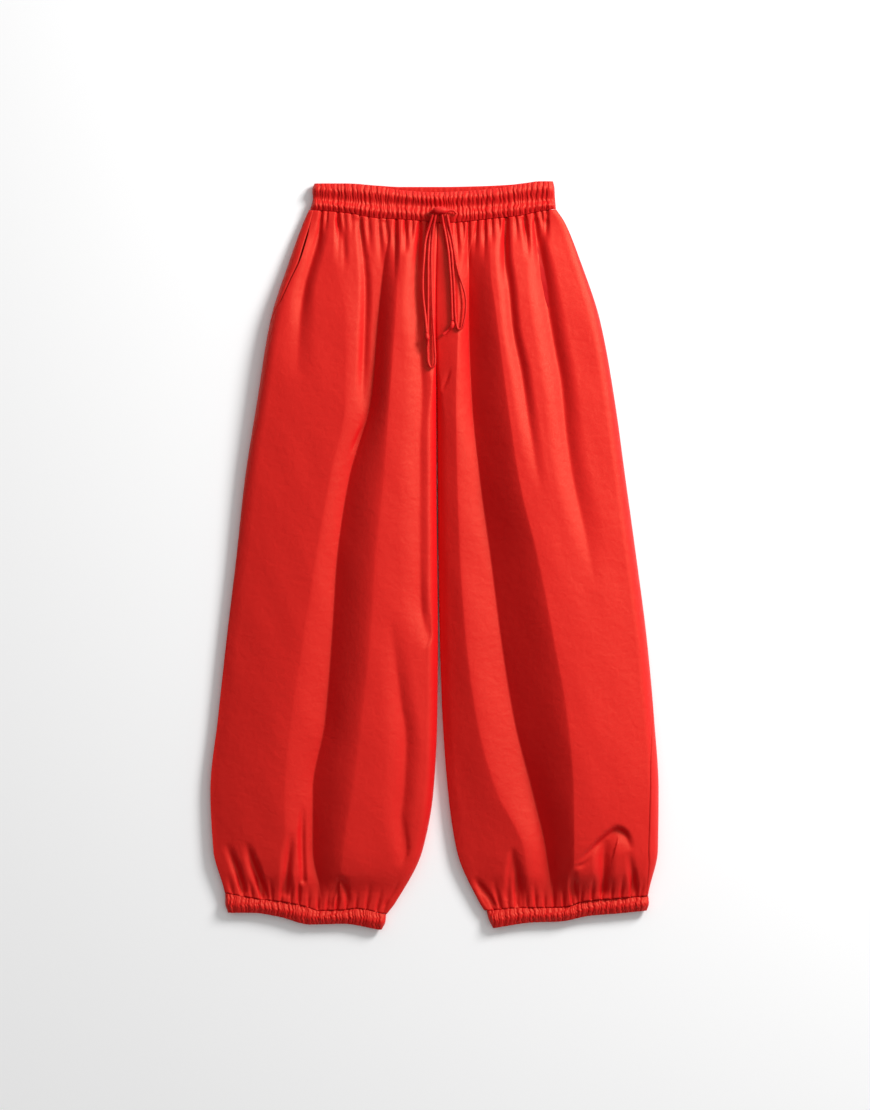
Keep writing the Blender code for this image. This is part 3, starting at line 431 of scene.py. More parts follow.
@dataclass(frozen=True)
class TaffetaFinish:
    """Crisp polyester taffeta: a tight plain weave with a soft lustre and a dry, papery crinkle.

    The thread pitch is 0.35 mm in life. It is drawn at weave_mm, as fine as the picture can show.
    """

    name: str
    colour: str
    warm: str
    roughness: float = 0.46
    specular: float = 0.36
    weave_mm: float = 1.1
    weave_depth_mm: float = 0.05
    crinkle_mm: float = 11.0
    crinkle_depth_mm: float = 0.55
    sheen: float = 0.0

    def material(self) -> bpy.types.Material:
        """Builds the material, on Object coordinates."""
        made = bpy.data.materials.new(self.name)
        made.use_nodes = True
        tree = made.node_tree
        shader = tree.nodes["Principled BSDF"]
        place = add_node(tree, "ShaderNodeTexCoord").outputs["Object"]
        tone = add_node(tree, "ShaderNodeTexNoise", {
            "Vector": place, "Scale": 14.0, "Detail": 3.0, "Roughness": 0.5})
        colour = add_node(tree, "ShaderNodeMix", {
            "Factor": tone.outputs["Fac"], 6: srgb(self.colour), 7: srgb(self.warm)},
            data_type="RGBA")
        tree.links.new(colour.outputs[2], shader.inputs["Base Color"])
        crinkle = add_node(tree, "ShaderNodeTexNoise", {
            "Vector": place, "Scale": 1 / (self.crinkle_mm * MM), "Detail": 2.5,
            "Roughness": 0.45, "Distortion": 0.4})
        first = add_node(tree, "ShaderNodeBump", {
            "Height": crinkle.outputs["Fac"], "Strength": 1.0,
            "Distance": self.crinkle_depth_mm * MM})
        turn = 2 * math.pi / (self.weave_mm * MM)
        parts = add_node(tree, "ShaderNodeSeparateXYZ", {"Vector": place})
        waves = []
        for axis in ("X", "Y"):
            run = add_node(tree, "ShaderNodeMath", {0: parts.outputs[axis], 1: turn},
                           operation="MULTIPLY")
            wave = add_node(tree, "ShaderNodeMath", {0: run.outputs[0]}, operation="SINE")
            waves.append(wave.outputs[0])
        weave = add_node(tree, "ShaderNodeMath", {0: waves[0], 1: waves[1]},
                         operation="MULTIPLY")
        second = add_node(tree, "ShaderNodeBump", {
            "Height": weave.outputs[0], "Strength": 1.0,
            "Distance": self.weave_depth_mm * MM, "Normal": first.outputs["Normal"]})
        tree.links.new(second.outputs["Normal"], shader.inputs["Normal"])
        shader.inputs["Roughness"].default_value = self.roughness
        shader.inputs["Specular IOR Level"].default_value = self.specular
        shader.inputs["Specular Tint"].default_value = srgb("fff2b8")
        shader.inputs["Sheen Weight"].default_value = self.sheen
        shader.inputs["Sheen Roughness"].default_value = 0.4
        shader.inputs["Sheen Tint"].default_value = srgb("ff8a70")
        return made


@dataclass(frozen=True)
class ThreadFinish:
    """Spun polyester sewing thread, a shade deeper than the cloth."""

    name: str
    colour: str
    roughness: float = 0.6

    def material(self) -> bpy.types.Material:
        """Builds the material, with a fine fluffy mottle on Object coordinates."""
        made = bpy.data.materials.new(self.name)
        made.use_nodes = True
        tree = made.node_tree
        shader = tree.nodes["Principled BSDF"]
        place = add_node(tree, "ShaderNodeTexCoord").outputs["Object"]
        fluff = add_node(tree, "ShaderNodeTexNoise", {
            "Vector": place, "Scale": 2500.0, "Detail": 1.0})
        colour = add_node(tree, "ShaderNodeMix", {
            "Factor": fluff.outputs["Fac"], 6: srgb(self.colour), 7: srgb("e0483a")},
            data_type="RGBA")
        tree.links.new(colour.outputs[2], shader.inputs["Base Color"])
        shader.inputs["Roughness"].default_value = self.roughness
        return made


@dataclass(frozen=True)
class FloorFinish:
    """A pale paper sweep, matt and even."""

    name: str = "pale_paper"
    colour: str = "fdfdfd"
    glow: float = 0.0

    def material(self) -> bpy.types.Material:
        """Builds the material."""
        made = bpy.data.materials.new(self.name)
        made.use_nodes = True
        shader = made.node_tree.nodes["Principled BSDF"]
        shader.inputs["Base Color"].default_value = srgb(self.colour)
        shader.inputs["Roughness"].default_value = 0.95
        shader.inputs["Emission Color"].default_value = (1, 1, 1, 1)
        shader.inputs["Emission Strength"].default_value = self.glow
        return made


def smooth(rows: Rows, column: int, at: np.ndarray | float) -> np.ndarray:
    """Reads a table's column on a curve that never overshoots its rows.

    Args:
        rows: the table, keyed by its first column.
        column: which column to read.
        at: the keys to read it at.

    Returns:
        The column's value at each key.
    """
    table = np.array(sorted(rows), float)
    xs = table[:, 0]
    ys = table[:, column]
    at = np.clip(np.asarray(at, float), xs[0], xs[-1])
    steps = np.diff(xs)
    slopes = np.diff(ys) / steps
    tangents = np.zeros_like(ys)
    same_way = slopes[:-1] * slopes[1:] > 0
    both = np.where(same_way, slopes[:-1] + slopes[1:], 1.0)
    tangents[1:-1] = np.where(same_way, 2 * slopes[:-1] * slopes[1:] / both, 0.0)
    tangents[0] = slopes[0]
    tangents[-1] = slopes[-1]
    i = np.clip(np.searchsorted(xs, at, side="right") - 1, 0, len(xs) - 2)
    h = steps[i]
    t = (at - xs[i]) / h
    return (
        ys[i] * (1 + 2 * t) * (1 - t) ** 2
        + tangents[i] * h * t * (1 - t) ** 2
        + ys[i + 1] * t * t * (3 - 2 * t)
        - tangents[i + 1] * h * t * t * (1 - t)
    )


def straight(line: Rows) -> Rows:
    """A line's two ends alone."""
    return (line[0], line[-1])


def ease(t: np.ndarray) -> np.ndarray:
    """0 to 1 with flat ends."""
    t = np.clip(t, 0, 1)
    return t * t * (3 - 2 * t)


def smooth_path(rows: Rows, steps_between: int) -> np.ndarray:
    """Points on a smooth curve through a table's rows, all columns at once.

    Args:
        rows: the table.
        steps_between: how many steps from one row to the next.

    Returns:
        One row for each point.
    """
    table = np.array(rows, float)
    along = np.arange(len(table), dtype=float)
    fine = np.linspace(0, len(table) - 1, (len(table) - 1) * steps_between + 1)
    keyed = tuple(tuple(row) for row in np.column_stack([along, table]))
    return np.column_stack([smooth(keyed, c + 1, fine) for c in range(table.shape[1])])


def crease_depth(rows: Rows, x: np.ndarray, y: np.ndarray, radius: float = 1.5,
                 power: float = 2.0) -> np.ndarray:
    """How far one crease presses the cloth down.

    Args:
        rows: the crease's path as x, y, depth, width on its left and on its right.
        x: where across the garment.
        y: where along it.
        radius: how round its valley is.
        power: how its sides flatten out; 1 is a straight side.

    Returns:
        The depth at each place, in millimetres.
    """
    path = smooth_path(rows, 4)
    reach = path[:, 3:5].max()
    near = (
        (x > path[:, 0].min() - reach) & (x < path[:, 0].max() + reach)
        & (y > path[:, 1].min() - reach) & (y < path[:, 1].max() + reach)
    )
    found = np.zeros(x.shape)
    if not near.any():
        return found
    px = x[near]
    py = y[near]
    best = np.full(px.shape, np.inf)
    depth = np.zeros(px.shape)
    for start, end in zip(path[:-1], path[1:]):
        run = end - start
        length = max(math.hypot(run[0], run[1]), 1e-6)
        t = np.clip(((px - start[0]) * run[0] + (py - start[1]) * run[1]) / length**2, 0, 1)
        off_x = px - start[0] - t * run[0]
        off_y = py - start[1] - t * run[1]
        distance = np.hypot(off_x, off_y)
        on_right = run[0] * off_y - run[1] * off_x > 0
        width = np.where(on_right, start[4] + t * run[4], start[3] + t * run[3])
        rounded = np.sqrt(distance**2 + radius**2) - radius
        here = (start[2] + t * run[2]) * np.clip(1 - rounded / width, 0, 1) ** power
        nearer = distance < best
        best = np.where(nearer, distance, best)
        depth = np.where(nearer, here, depth)
    found[near] = depth
    return found


def grid_normals(points: np.ndarray) -> np.ndarray:
    """Unit normals of a grid of points, from its rows and columns.

    Args:
        points: rows by columns by x, y and z.

    Returns:
        One normal for each point.
    """
    normals = np.cross(np.gradient(points, axis=1), np.gradient(points, axis=0))
    return normals / np.maximum(np.linalg.norm(normals, axis=2, keepdims=True), 1e-9)


def lowest_around(z: np.ndarray, reach: int) -> np.ndarray:
    """The lowest value within some steps of each place on a grid.

    Args:
        z: the grid.
        reach: how many steps.

    Returns:
        A grid of the same size.
    """
    for axis in (0, 1):
        padded = np.concatenate([np.repeat(z.take([0], axis), reach, axis), z,
                                 np.repeat(z.take([-1], axis), reach, axis)], axis)
        count = z.shape[axis]
        z = np.min([padded.take(range(k, k + count), axis) for k in range(2 * reach + 1)], 0)
    return z


def every(count: int, step: int) -> list[int]:
    """Every step-th index, and the last."""
    picked = list(range(0, count - 1, step))
    return picked + [count - 1]


@dataclass
class ClothShell:
    """A closed thin shell: a fine face and a coarser one behind it, joined round the rim.

    Attributes:
        name: the piece's name.
        face: the fine face's points in millimetres, rows by columns.
        outward: the fine face's unit normals, pointing away from the shell.
        thickness: how far the other face lies behind, in millimetres.
        coarse: how many fine steps make one step of the other face.
        follow_low: whether the other face stays under the lowest cloth near it.
    """

    name: str
    face: np.ndarray
    outward: np.ndarray
    thickness: float = CLOTH_THICKNESS
    coarse: int = 4
    follow_low: bool = False

    def build(self, material: bpy.types.Material) -> bpy.types.Object:
        """Makes the shell's mesh and its object.

        Args:
            material: the cloth.

        Returns:
            The new piece.
        """
        rows, columns = self.face.shape[:2]
        pick_rows = every(rows, self.coarse)
        pick_columns = every(columns, self.coarse)
        behind = self.face - self.thickness * self.outward
        if self.follow_low:
            low = lowest_around(self.face[:, :, 2], self.coarse) - self.thickness
            inner = behind[1:-1, 1:-1, 2]
            behind[1:-1, 1:-1, 2] = np.minimum(inner, low[1:-1, 1:-1])
        behind = behind[np.ix_(pick_rows, pick_columns)]
        points = np.concatenate([self.face.reshape(-1, 3), behind.reshape(-1, 3)]) * MM
        fine = np.arange(rows * columns).reshape(rows, columns)
        back = rows * columns + np.arange(behind.shape[0] * behind.shape[1])
        back = back.reshape(behind.shape[:2])
        normal_up = self.faces_up()
        faces = self.quads(fine, not normal_up) + self.quads(back, normal_up)
        faces += self.rim(fine, back, pick_rows, pick_columns, normal_up)
        mesh = bpy.data.meshes.new(self.name)
        mesh.from_pydata(points.tolist(), [], faces)
        mesh.update()
        mesh.shade_smooth()
        mesh.materials.append(material)
        piece = bpy.data.objects.new(self.name, mesh)
        bpy.context.scene.collection.objects.link(piece)
        return piece

    def faces_up(self) -> bool:
        """Whether rows crossed with columns point the way that the outward normals do."""
        crossed = grid_normals(self.face)
        return float((crossed * self.outward).sum(axis=2).mean()) > 0

    @staticmethod
    def quads(index: np.ndarray, turned: bool) -> list[list[int]]:
        """The quads of a grid of point numbers.

        Args:
            index: the point numbers.
            turned: whether the quads run the other way round.

        Returns:
            Four point numbers for each quad.
        """
        corners = [index[:-1, :-1], index[:-1, 1:], index[1:, 1:], index[1:, :-1]]
        made = np.stack([c.ravel() for c in corners], axis=1)
        return (made[:, ::-1] if turned else made).tolist()

    @staticmethod
    def rim(fine: np.ndarray, back: np.ndarray, pick_rows: list[int], pick_columns: list[int],
            normal_up: bool) -> list[list[int]]:
        """The faces that join the two grids round their rim.

        Args:
            fine: the fine face's point numbers.
            back: the other face's point numbers.
            pick_rows: the fine rows that the other face's rows lie behind.
            pick_columns: the fine columns that its columns lie behind.
            normal_up: whether rows crossed with columns point outwards on the fine face.

        Returns:
            The point numbers of each face.
        """
        made = []
        for line, behind, picks, flip in (
            (fine[0], back[0], pick_columns, False),
            (fine[-1], back[-1], pick_columns, True),
            (fine[:, 0], back[:, 0], pick_rows, True),
            (fine[:, -1], back[:, -1], pick_rows, False),
        ):
            for k in range(len(picks) - 1):
                run = line[picks[k]:picks[k + 1] + 1].tolist()
                face = run[::-1] + [int(behind[k]), int(behind[k + 1])]
                made.append(face if flip != normal_up else face[::-1])
        return made


@dataclass
class Leg:
    """One leg's tables, and the faces that they give.

    Attributes:
        side: which leg.
        lines: where the main fold lines run.
        heights: how high the cloth stands on them.
        creases: the folds that the solids have too.
        fine: the creases that only the cloth shows.
        waist_gathers: the gathers that run down out of the waistband.
        hem_gathers: the gathers that run up out of the cuff.
        seam: where the side seam lies on the upper face.
        cuff_seam: the line of the cuff's seam.
        rise: how its walls flatten out towards their crests; 1 is a straight slope.
    """

    side: Side
    lines: Rows
    heights: Rows
    creases: dict[str, Rows]
    fine: dict[str, Rows]
    waist_gathers: Rows
    hem_gathers: Rows
    seam: Rows
    cuff_seam: Rows
    rise: float
    rows: int = 381
    columns: tuple[int, ...] = (10, 64, 34, 44, 72, 10)

    def line(self, name: str, y: np.ndarray) -> np.ndarray:
        """x of one of the fold lines at y."""
        return smooth(self.lines, LINES.index(name), y)

    def edge_x(self, edge: Edge, y: np.ndarray) -> np.ndarray:
        """x of an edge at y, with the gap to the other leg taken off."""
        parting = HALF_GAP + (LEG_PARTING - HALF_GAP) * ease((CROTCH_Y - y) / 40)
        x = self.line(edge.value, y)
        return x if self.is_outer(edge) else x + parting * edge.inward

    def is_outer(self, edge: Edge) -> bool:
        """Whether an edge is the garment's own side."""
        return (edge is Edge.LEFT) == (self.side is Side.LEFT)

    def turn(self, edge: Edge, y: np.ndarray) -> tuple[np.ndarray, np.ndarray]:
        """The height at which an edge turns over, and how far in it rolls."""
        kind = "outer" if self.is_outer(edge) else "inner"
        height = smooth(EDGE_ROWS, EDGES.index(kind + "_z"), y)
        return height, smooth(EDGE_ROWS, EDGES.index(kind + "_roll"), y)

    def seam_at(self, edge: Edge, y: np.ndarray) -> tuple[np.ndarray, np.ndarray]:
        """The side seam's inset from an edge, and its gap."""
        if not self.is_outer(edge):
            return np.zeros_like(y), np.full_like(y, SEAM_GAP)
        return smooth(self.seam, 1, y), smooth(self.seam, 2, y)

    def station(self, nominal: np.ndarray, x: np.ndarray, front: bool = True) -> np.ndarray:
        """y of a station at x: it follows the band's seam above and the cuff's below.

        Args:
            nominal: the station's own y.
            x: where across the leg.
            front: whether it is on the front, whose seams curve.

        Returns:
            y at each place.
        """
        up = ease((nominal - (LEG_TOP - TOP_BLEND)) / TOP_BLEND)
        down = ease(((LEG_BOTTOM + BOTTOM_BLEND) - nominal) / BOTTOM_BLEND)
        band = smooth(BAND_SEAM if front else straight(BAND_SEAM), 1, x) - CROSS_HALF_GAP
        cuff_line = self.cuff_seam if front else straight(self.cuff_seam)
        cuff = smooth(cuff_line, 1, x) + CROSS_HALF_GAP
        return nominal + up * (band - LEG_TOP) + down * (cuff - LEG_BOTTOM)

    def edge_point(self, edge: Edge, nominal: np.ndarray, front: bool = True) -> tuple:
        """x and y of an edge on a station."""
        y = np.array(nominal, float)
        for _ in range(6):
            x = self.edge_x(edge, y)
            y = self.station(nominal, x, front)
        return x, y

    def folds(self, x: np.ndarray, y: np.ndarray) -> np.ndarray:
        """The height of the main folds at x, y."""
        marks = [self.edge_x(Edge.LEFT, y)]
        marks += [self.line(name, y) for name in LINES[2:5]]
        marks.append(self.edge_x(Edge.RIGHT, y))
        heights = [smooth(self.heights, k, y) for k in range(1, 6)]
        z = np.zeros(x.shape)
        for k in range(4):
            t = np.clip((x - marks[k]) / (marks[k + 1] - marks[k]), 0, 1)
            shape = 1 - (1 - t) ** self.rise if k % 2 == 0 else t**FALL_POWER
            here = heights[k] + (heights[k + 1] - heights[k]) * shape
            z = np.where(x >= marks[k], here, z) if k else here
        return z

    def gathers(self, x: np.ndarray, y: np.ndarray) -> np.ndarray:
        """How far the gathers out of the waist and the hem press the cloth down at x, y."""
        depth = np.zeros(x.shape)
        for rows, seam, way in (
            (self.waist_gathers, BAND_SEAM, -1),
            (self.hem_gathers, self.cuff_seam, 1),
        ):
            for start, drift, length, deep, width in rows:
                y_seam = float(smooth(seam, 1, start))
                path = (
                    (start, y_seam, deep * 1.6, width * 1.1, width * 0.8),
                    (start + drift * 0.25, y_seam + way * length * 0.3, deep * 1.9, width * 1.6,
                     width * 1.1),
                    (start + drift * 0.6, y_seam + way * length * 0.7, deep * 1.1, width * 2,
                     width * 1.6),
                    (start + drift, y_seam + way * length * 1.25, 0, width * 2.6, width * 2.2),
                )
                depth = np.maximum(depth, crease_depth(path, x, y, 0.5, 1.5))
        return depth

    def ripples(self, x: np.ndarray, y: np.ndarray) -> np.ndarray:
        """Low uneven waves that crisp cloth keeps between its folds."""
        bend = 5 * np.sin(y / 61.0 + 1.3) + 3 * np.sin(y / 27.0)
        wave = np.sin((x + bend) / 9.5 + np.sin(y / 83.0)) * np.sin(y / 47.0 + x / 39.0)
        wave += 0.6 * np.sin((x * 0.7 + y * 0.45) / 7.3 + np.sin(x / 31.0))
        return 0.22 * wave

    def top(self, x: np.ndarray, y: np.ndarray) -> np.ndarray:
        """The upper face's height at x, y."""
        z = self.folds(x, y)
        for rows in self.creases.values():
            z = z - crease_depth(rows, x, y, 3.0)
        z = np.maximum(z, LOWEST_VALLEY)
        for rows in self.fine.values():
            z = z - crease_depth(rows, x, y, 1.6)
        z = z - self.gathers(x, y) + self.ripples(x, y)
        z = np.maximum(z, LOWEST_CREASE)
        for edge in Edge:
            turn_z, roll = self.turn(edge, y)
            t = np.clip((x - self.edge_x(edge, y)) * edge.inward / roll, 0, 1)
            z = turn_z + (z - turn_z) * np.sqrt(t * (2 - t))
        return z

    def front_face(self) -> np.ndarray:
        """The front's points, from the waist's seam to the cuff's."""
        share = np.linspace(0, 1, self.rows)
        share = share - 0.018 * np.sin(2 * math.pi * share)
        nominal = LEG_TOP + (LEG_BOTTOM - LEG_TOP) * share
        rolled = 1 - np.cos(np.linspace(0, math.pi / 2, self.columns[0] + 1))
        edges = {}
        for edge in Edge:
            x, y = self.edge_point(edge, nominal)
            roll = self.turn(edge, y)[1]
            inset, gap = self.seam_at(edge, y)
            start = inset + gap * np.clip(inset / 2, 0, 1)
            width = np.maximum(roll, start + 8) - start
            edges[edge] = x[:, None] + edge.inward * (start[:, None] + width[:, None] * rolled)
        marks = [edges[Edge.LEFT][:, -1]]
        marks += [self.line(name, nominal) for name in LINES[2:5]]
        marks.append(edges[Edge.RIGHT][:, -1])
        columns = [edges[Edge.LEFT]]
        for k, count in enumerate(self.columns[1:5]):
            part = np.arange(1, count + 1) / count
            columns.append(marks[k][:, None] * (1 - part) + marks[k + 1][:, None] * part)
        columns.append(edges[Edge.RIGHT][:, -2::-1])
        x = np.concatenate(columns, axis=1)
        y = self.station(nominal[:, None], x)
        return np.stack([x, y, self.top(x, y)], axis=2)

    def back_side(self, edge: Edge, nominal: np.ndarray, steps: int) -> np.ndarray:
        """One side of the back: from the seam, round the edge, to the floor.

        Args:
            edge: which side.
            nominal: the stations.
            steps: how many steps from the seam to the floor.

        Returns:
            The points, station by step.
        """
        edge_x, y = self.edge_point(edge, nominal, front=False)
        turn_z, roll = self.turn(edge, y)
        inset = self.seam_at(edge, y)[0]
        on_top = np.clip(inset / 2, 0, 1)
        if self.is_outer(edge):
            back_z = turn_z - SEAM_GAP * (1 - on_top)
        else:
            back_z = smooth(EDGE_ROWS, EDGES.index("back_inner_z"), y)
        quarter = math.pi / 2
        upper = (roll + turn_z) * quarter / 2
        lower = (ROLL_UNDER + back_z) * quarter / 2
        start = upper * np.arccos(1 - inset / roll) / quarter
        q = start[:, None] + (-lower - start)[:, None] * np.linspace(0, 1, steps + 1)
        upper_angle = np.clip(q / upper[:, None], 0, 1) * quarter
        lower_angle = np.clip(-q / lower[:, None], 0, 1) * quarter
        inward = np.where(q > 0, roll[:, None] * (1 - np.cos(upper_angle)),
                          ROLL_UNDER * (1 - np.cos(lower_angle)))
        x = edge_x[:, None] + edge.inward * inward
        y = np.where(q > 0, self.station(nominal[:, None], x),
                     self.station(nominal[:, None], x, False))
        above = self.top(x, y) - SEAM_GAP * (1 - on_top)[:, None]
        below = back_z[:, None] * (1 - np.sin(lower_angle))
        return np.stack([x, y, np.where(q > 0, above, below)], axis=2)

    def back_face(self) -> np.ndarray:
        """The back's points: flat where it rests, with low creases that lift it here and there."""
        nominal = np.linspace(LEG_TOP, LEG_BOTTOM, 281)
        left = self.back_side(Edge.LEFT, nominal, 14)
        right = self.back_side(Edge.RIGHT, nominal, 14)
        share = np.arange(1, 70) / 70
        x = left[:, -1:, 0] * (1 - share) + right[:, -1:, 0] * share
        y = self.station(nominal[:, None], x, front=False)
        lift = self.back_lift(x, y)
        edge_fade = ease(np.minimum(share, 1 - share) * 12)[None, :]
        row_fade = ease(np.minimum(nominal - LEG_BOTTOM, LEG_TOP - nominal) / 6)[:, None]
        flat = np.stack([x, y, lift * edge_fade * row_fade], axis=2)
        return np.concatenate([left, flat, right[:, ::-1]], axis=1)

    def back_lift(self, x: np.ndarray, y: np.ndarray) -> np.ndarray:
        """How far the back's creases stand off the surface that it lies on."""
        lift = np.zeros(x.shape)
        mid = (self.line("left_edge", np.array(0.0)) + self.line("right_edge", np.array(0.0))) / 2
        for place, top, bottom, drift, high, width in (
            (-0.62, 452, 210, -18, 2.2, 7), (-0.2, 454, 60, -26, 2.6, 8), (0.15, 452, 250, 6, 2, 6),
            (0.55, 453, 120, 14, 2.4, 7), (-0.45, 60, -300, -16, 2.2, 9),
            (0.3, 20, -380, 10, 2.4, 9), (-0.7, -300, -470, 8, 2, 6), (-0.1, -330, -472, 4, 2, 6),
            (0.6, -290, -471, -8, 2.2, 7),
        ):
            spread = 95 if top > 400 else 105
            start = mid * (0.62 if top > 400 else 1.0) + place * spread
            path = ((start, top, high, width, width),
                    (start + drift * 0.5, (top + bottom) / 2, high * 0.8, width * 1.2, width * 1.2),
                    (start + drift, bottom, 0, width, width))
            lift = np.maximum(lift, crease_depth(path, x, y, 0.8))
        return lift

    def flat_area(self) -> float:
        """One panel's area in square metres, from its outline alone."""
        y = np.linspace(LEG_BOTTOM, LEG_TOP, 60)
        width = self.line("right_edge", y) - self.line("left_edge", y)
        return float(np.trapezoid(width, y)) * MM * MM

    def build(self, cloth: bpy.types.Material) -> list[bpy.types.Object]:
        """Makes the leg's front and back.

        Args:
            cloth: what both are made of.

        Returns:
            The front and the back.
        """
        face = self.front_face()
        normals = grid_normals(face)
        normals *= np.sign(normals[:, 30:-30, 2].mean())
        for column, edge, way in ((0, Edge.LEFT, -1), (-1, Edge.RIGHT, 1)):
            normals[:, column] = self.seam_normals(edge, way, face[:, column, 1])
        level_ends(normals)
        front = ClothShell(f"front_{self.side.value}_cloth", face, normals,
                           follow_low=True).build(cloth)
        face = self.back_face()
        normals = grid_normals(face)
        normals *= -np.sign(normals[:, 30:-30, 2].mean())
        for column, edge, way in ((0, Edge.LEFT, -1), (-1, Edge.RIGHT, 1)):
            if self.is_outer(edge):
                normals[:, column] = self.seam_normals(edge, way, face[:, column, 1])
        level_ends(normals)
        back = ClothShell(f"back_{self.side.value}_cloth", face, normals, coarse=3).build(cloth)
        return [front, back]

    def seam_normals(self, edge: Edge, way: int, y: np.ndarray) -> np.ndarray:
        """The normals that the front and the back share along a side seam."""
        roll = self.turn(edge, y)[1]
        flat = np.clip(1 - self.seam_at(edge, y)[0] / roll, 0, 1)
        return np.stack([way * flat, np.zeros_like(y), np.sqrt(1 - flat**2)], axis=1)


def level_ends(normals: np.ndarray) -> np.ndarray:
    """Turns the first and last rows' normals square to the seams that they meet."""
    for row in (0, -1):
        normals[row, :, 1] = 0
        size = np.linalg.norm(normals[row], axis=1, keepdims=True)
        normals[row] /= np.maximum(size, 1e-9)
    return normals


@dataclass
class GatheredChannel:
    """A strip of cloth gathered over elastic: the waistband's front, or a cuff's.

    Attributes:
        name: the piece's name.
        lower: the line of its seam with the leg, or of its lower edge.
        upper: its other line.
        ends: where it starts and ends, across the strip.
        profile: its height and gathers, across the strip.
        gathers: for each channel, where its gathers lie and how deep each is.
        turn_z: how high its ends turn over.
        roll: how far in they roll.
        middle: the line between two channels.
    """

    name: str
    lower: Rows
    upper: Rows
    ends: Rows
    profile: Rows
    gathers: tuple[Rows, ...]
    turn_z: float
    roll: float
    middle: Rows | None = None
    columns: int = 661
    rows: int = 49
    deepest: float = 1.9

    def face(self) -> np.ndarray:
        """The gathered face's points."""
        across = np.linspace(0, 1, self.rows)[:, None]
        left = smooth(self.ends, 1, across)
        right = smooth(self.ends, 2, across)
        x = left + (right - left) * np.linspace(0, 1, self.columns)[None, :]
        low = smooth(self.lower, 1, x)
        high = smooth(self.upper, 1, x)
        y = low + (high - low) * across
        if self.middle is not None:
            mid = smooth(self.middle, 1, x)
            y = np.where(across < 0.5, low + (mid - low) * across * 2,
                         mid + (high - mid) * (across * 2 - 1))
        height = smooth(self.profile, 1, across)
        z = height + self.relief(x, across)
        t = np.clip(np.minimum(x - left, right - x) / self.roll, 0, 1)
        z = self.turn_z + (z - self.turn_z) * np.sqrt(t * (2 - t))
        return np.stack([x, y, z], axis=2)

    def relief(self, x: np.ndarray, across: np.ndarray) -> np.ndarray:
        """The gathers' height above and below the strip.

        Args:
            x: where along the strip.
            across: where across it, from 0 to 1.

        Returns:
            The relief in millimetres.
        """
        count = len(self.gathers)
        total = np.zeros(x.shape)
        for k, rows in enumerate(self.gathers):
            middle = (k + 0.5) / count
            share = ease(1.35 - np.abs(across - middle) * count)
            wander = 0.8 * np.sin(across * 9 + x / 17) + 0.5 * np.sin(across * 23 + x / 5.5)
            here = np.zeros(x.shape)
            for place, size in rows:
                off = np.abs(x + wander - place)
                width = 1.3 + 1.3 * size
                here = np.maximum(here, size * np.clip(1 - off / width, 0, 1) ** 1.15)
            fine = np.sin(x * 1.9 + 2.1 * np.sin(x * 0.21 + k) + 1.4 * np.sin(across * 7 + k))
            fine *= 0.5 + 0.5 * np.sin(x * 0.13 + across * 5 + 2 * k)
            total += share * (here + 0.13 * fine)
        size = smooth(self.profile, 2, across)
        return self.deepest * size * (0.4 - np.clip(total, -0.2, 1.1))

    def build(self, cloth: bpy.types.Material) -> bpy.types.Object:
        """Makes the strip.

        Args:
            cloth: what it is made of.

        Returns:
            The piece.
        """
        face = self.face()
        normals = grid_normals(face)
        normals *= np.sign(normals[:, 40:-40, 2].mean())
        normals[:, 0] = (-1, 0, 0)
        normals[:, -1] = (1, 0, 0)
        level_ends(normals)
        shell = ClothShell(self.name, face, normals, BAND_THICKNESS, follow_low=True)
        return shell.build(cloth)


@dataclass
class ChannelBack:
    """The back of a gathered strip: flat below, rolled up at both ends to meet its front."""

    name: str
    seam: Rows
    hem: Rows
    ends: Rows
    turn_z: float
    gathers: Rows
    side_steps: int = 12
    flat_steps: int = 300
    rows: int = 29

    def build(self, cloth: bpy.types.Material) -> bpy.types.Object:
        """Makes the strip.

        Args:
            cloth: what it is made of.

        Returns:
            The piece.
        """
        angle = np.linspace(0, math.pi / 2, self.side_steps + 1)
        inset = ROLL_UNDER * (1 - np.cos(angle))
        rise = (self.turn_z - SEAM_GAP) * (1 - np.sin(angle))
        across = np.linspace(0, 1, self.rows)[:, None]
        left = smooth(self.ends, 1, across)
        right = smooth(self.ends, 2, across)
        share = np.arange(1, self.flat_steps)[None, :] / self.flat_steps
        first = left + ROLL_UNDER
        last = right - ROLL_UNDER
        x = np.concatenate([left + inset, first + (last - first) * share,
                            right - inset[::-1]], 1)
        sewn = smooth(straight(self.seam), 1, x)
        y = sewn + (smooth(self.hem, 1, x) - sewn) * across
        z = np.concatenate([rise, np.zeros(self.flat_steps - 1), rise[::-1]])
        z = np.broadcast_to(z, x.shape).copy()
        z += self.lift(x, across, left, right)
        face = np.stack([x, y, z], axis=2)
        normals = grid_normals(face)
        normals *= -np.sign(normals[:, 40:-40, 2].mean())
        normals[:, 0] = (-1, 0, 0)
        normals[:, -1] = (1, 0, 0)
        level_ends(normals)
        return ClothShell(self.name, face, normals, BAND_THICKNESS, coarse=2).build(cloth)

    def lift(self, x: np.ndarray, across: np.ndarray, left: np.ndarray,
             right: np.ndarray) -> np.ndarray:
        """How far the gathers lift this face off the surface under it."""
        lift = np.zeros(x.shape)
        for place, size in self.gathers:
            off = np.abs(x + 0.7 * np.sin(across * 7 + place) - place)
            lift = np.maximum(lift, size * np.clip(1 - off / (1.5 + size), 0, 1))
        inside = ease((np.minimum(x - left, right - x) - ROLL_UNDER) / 6)
        return 1.1 * lift * inside * ease(across * 8) * ease((1 - across) * 8)


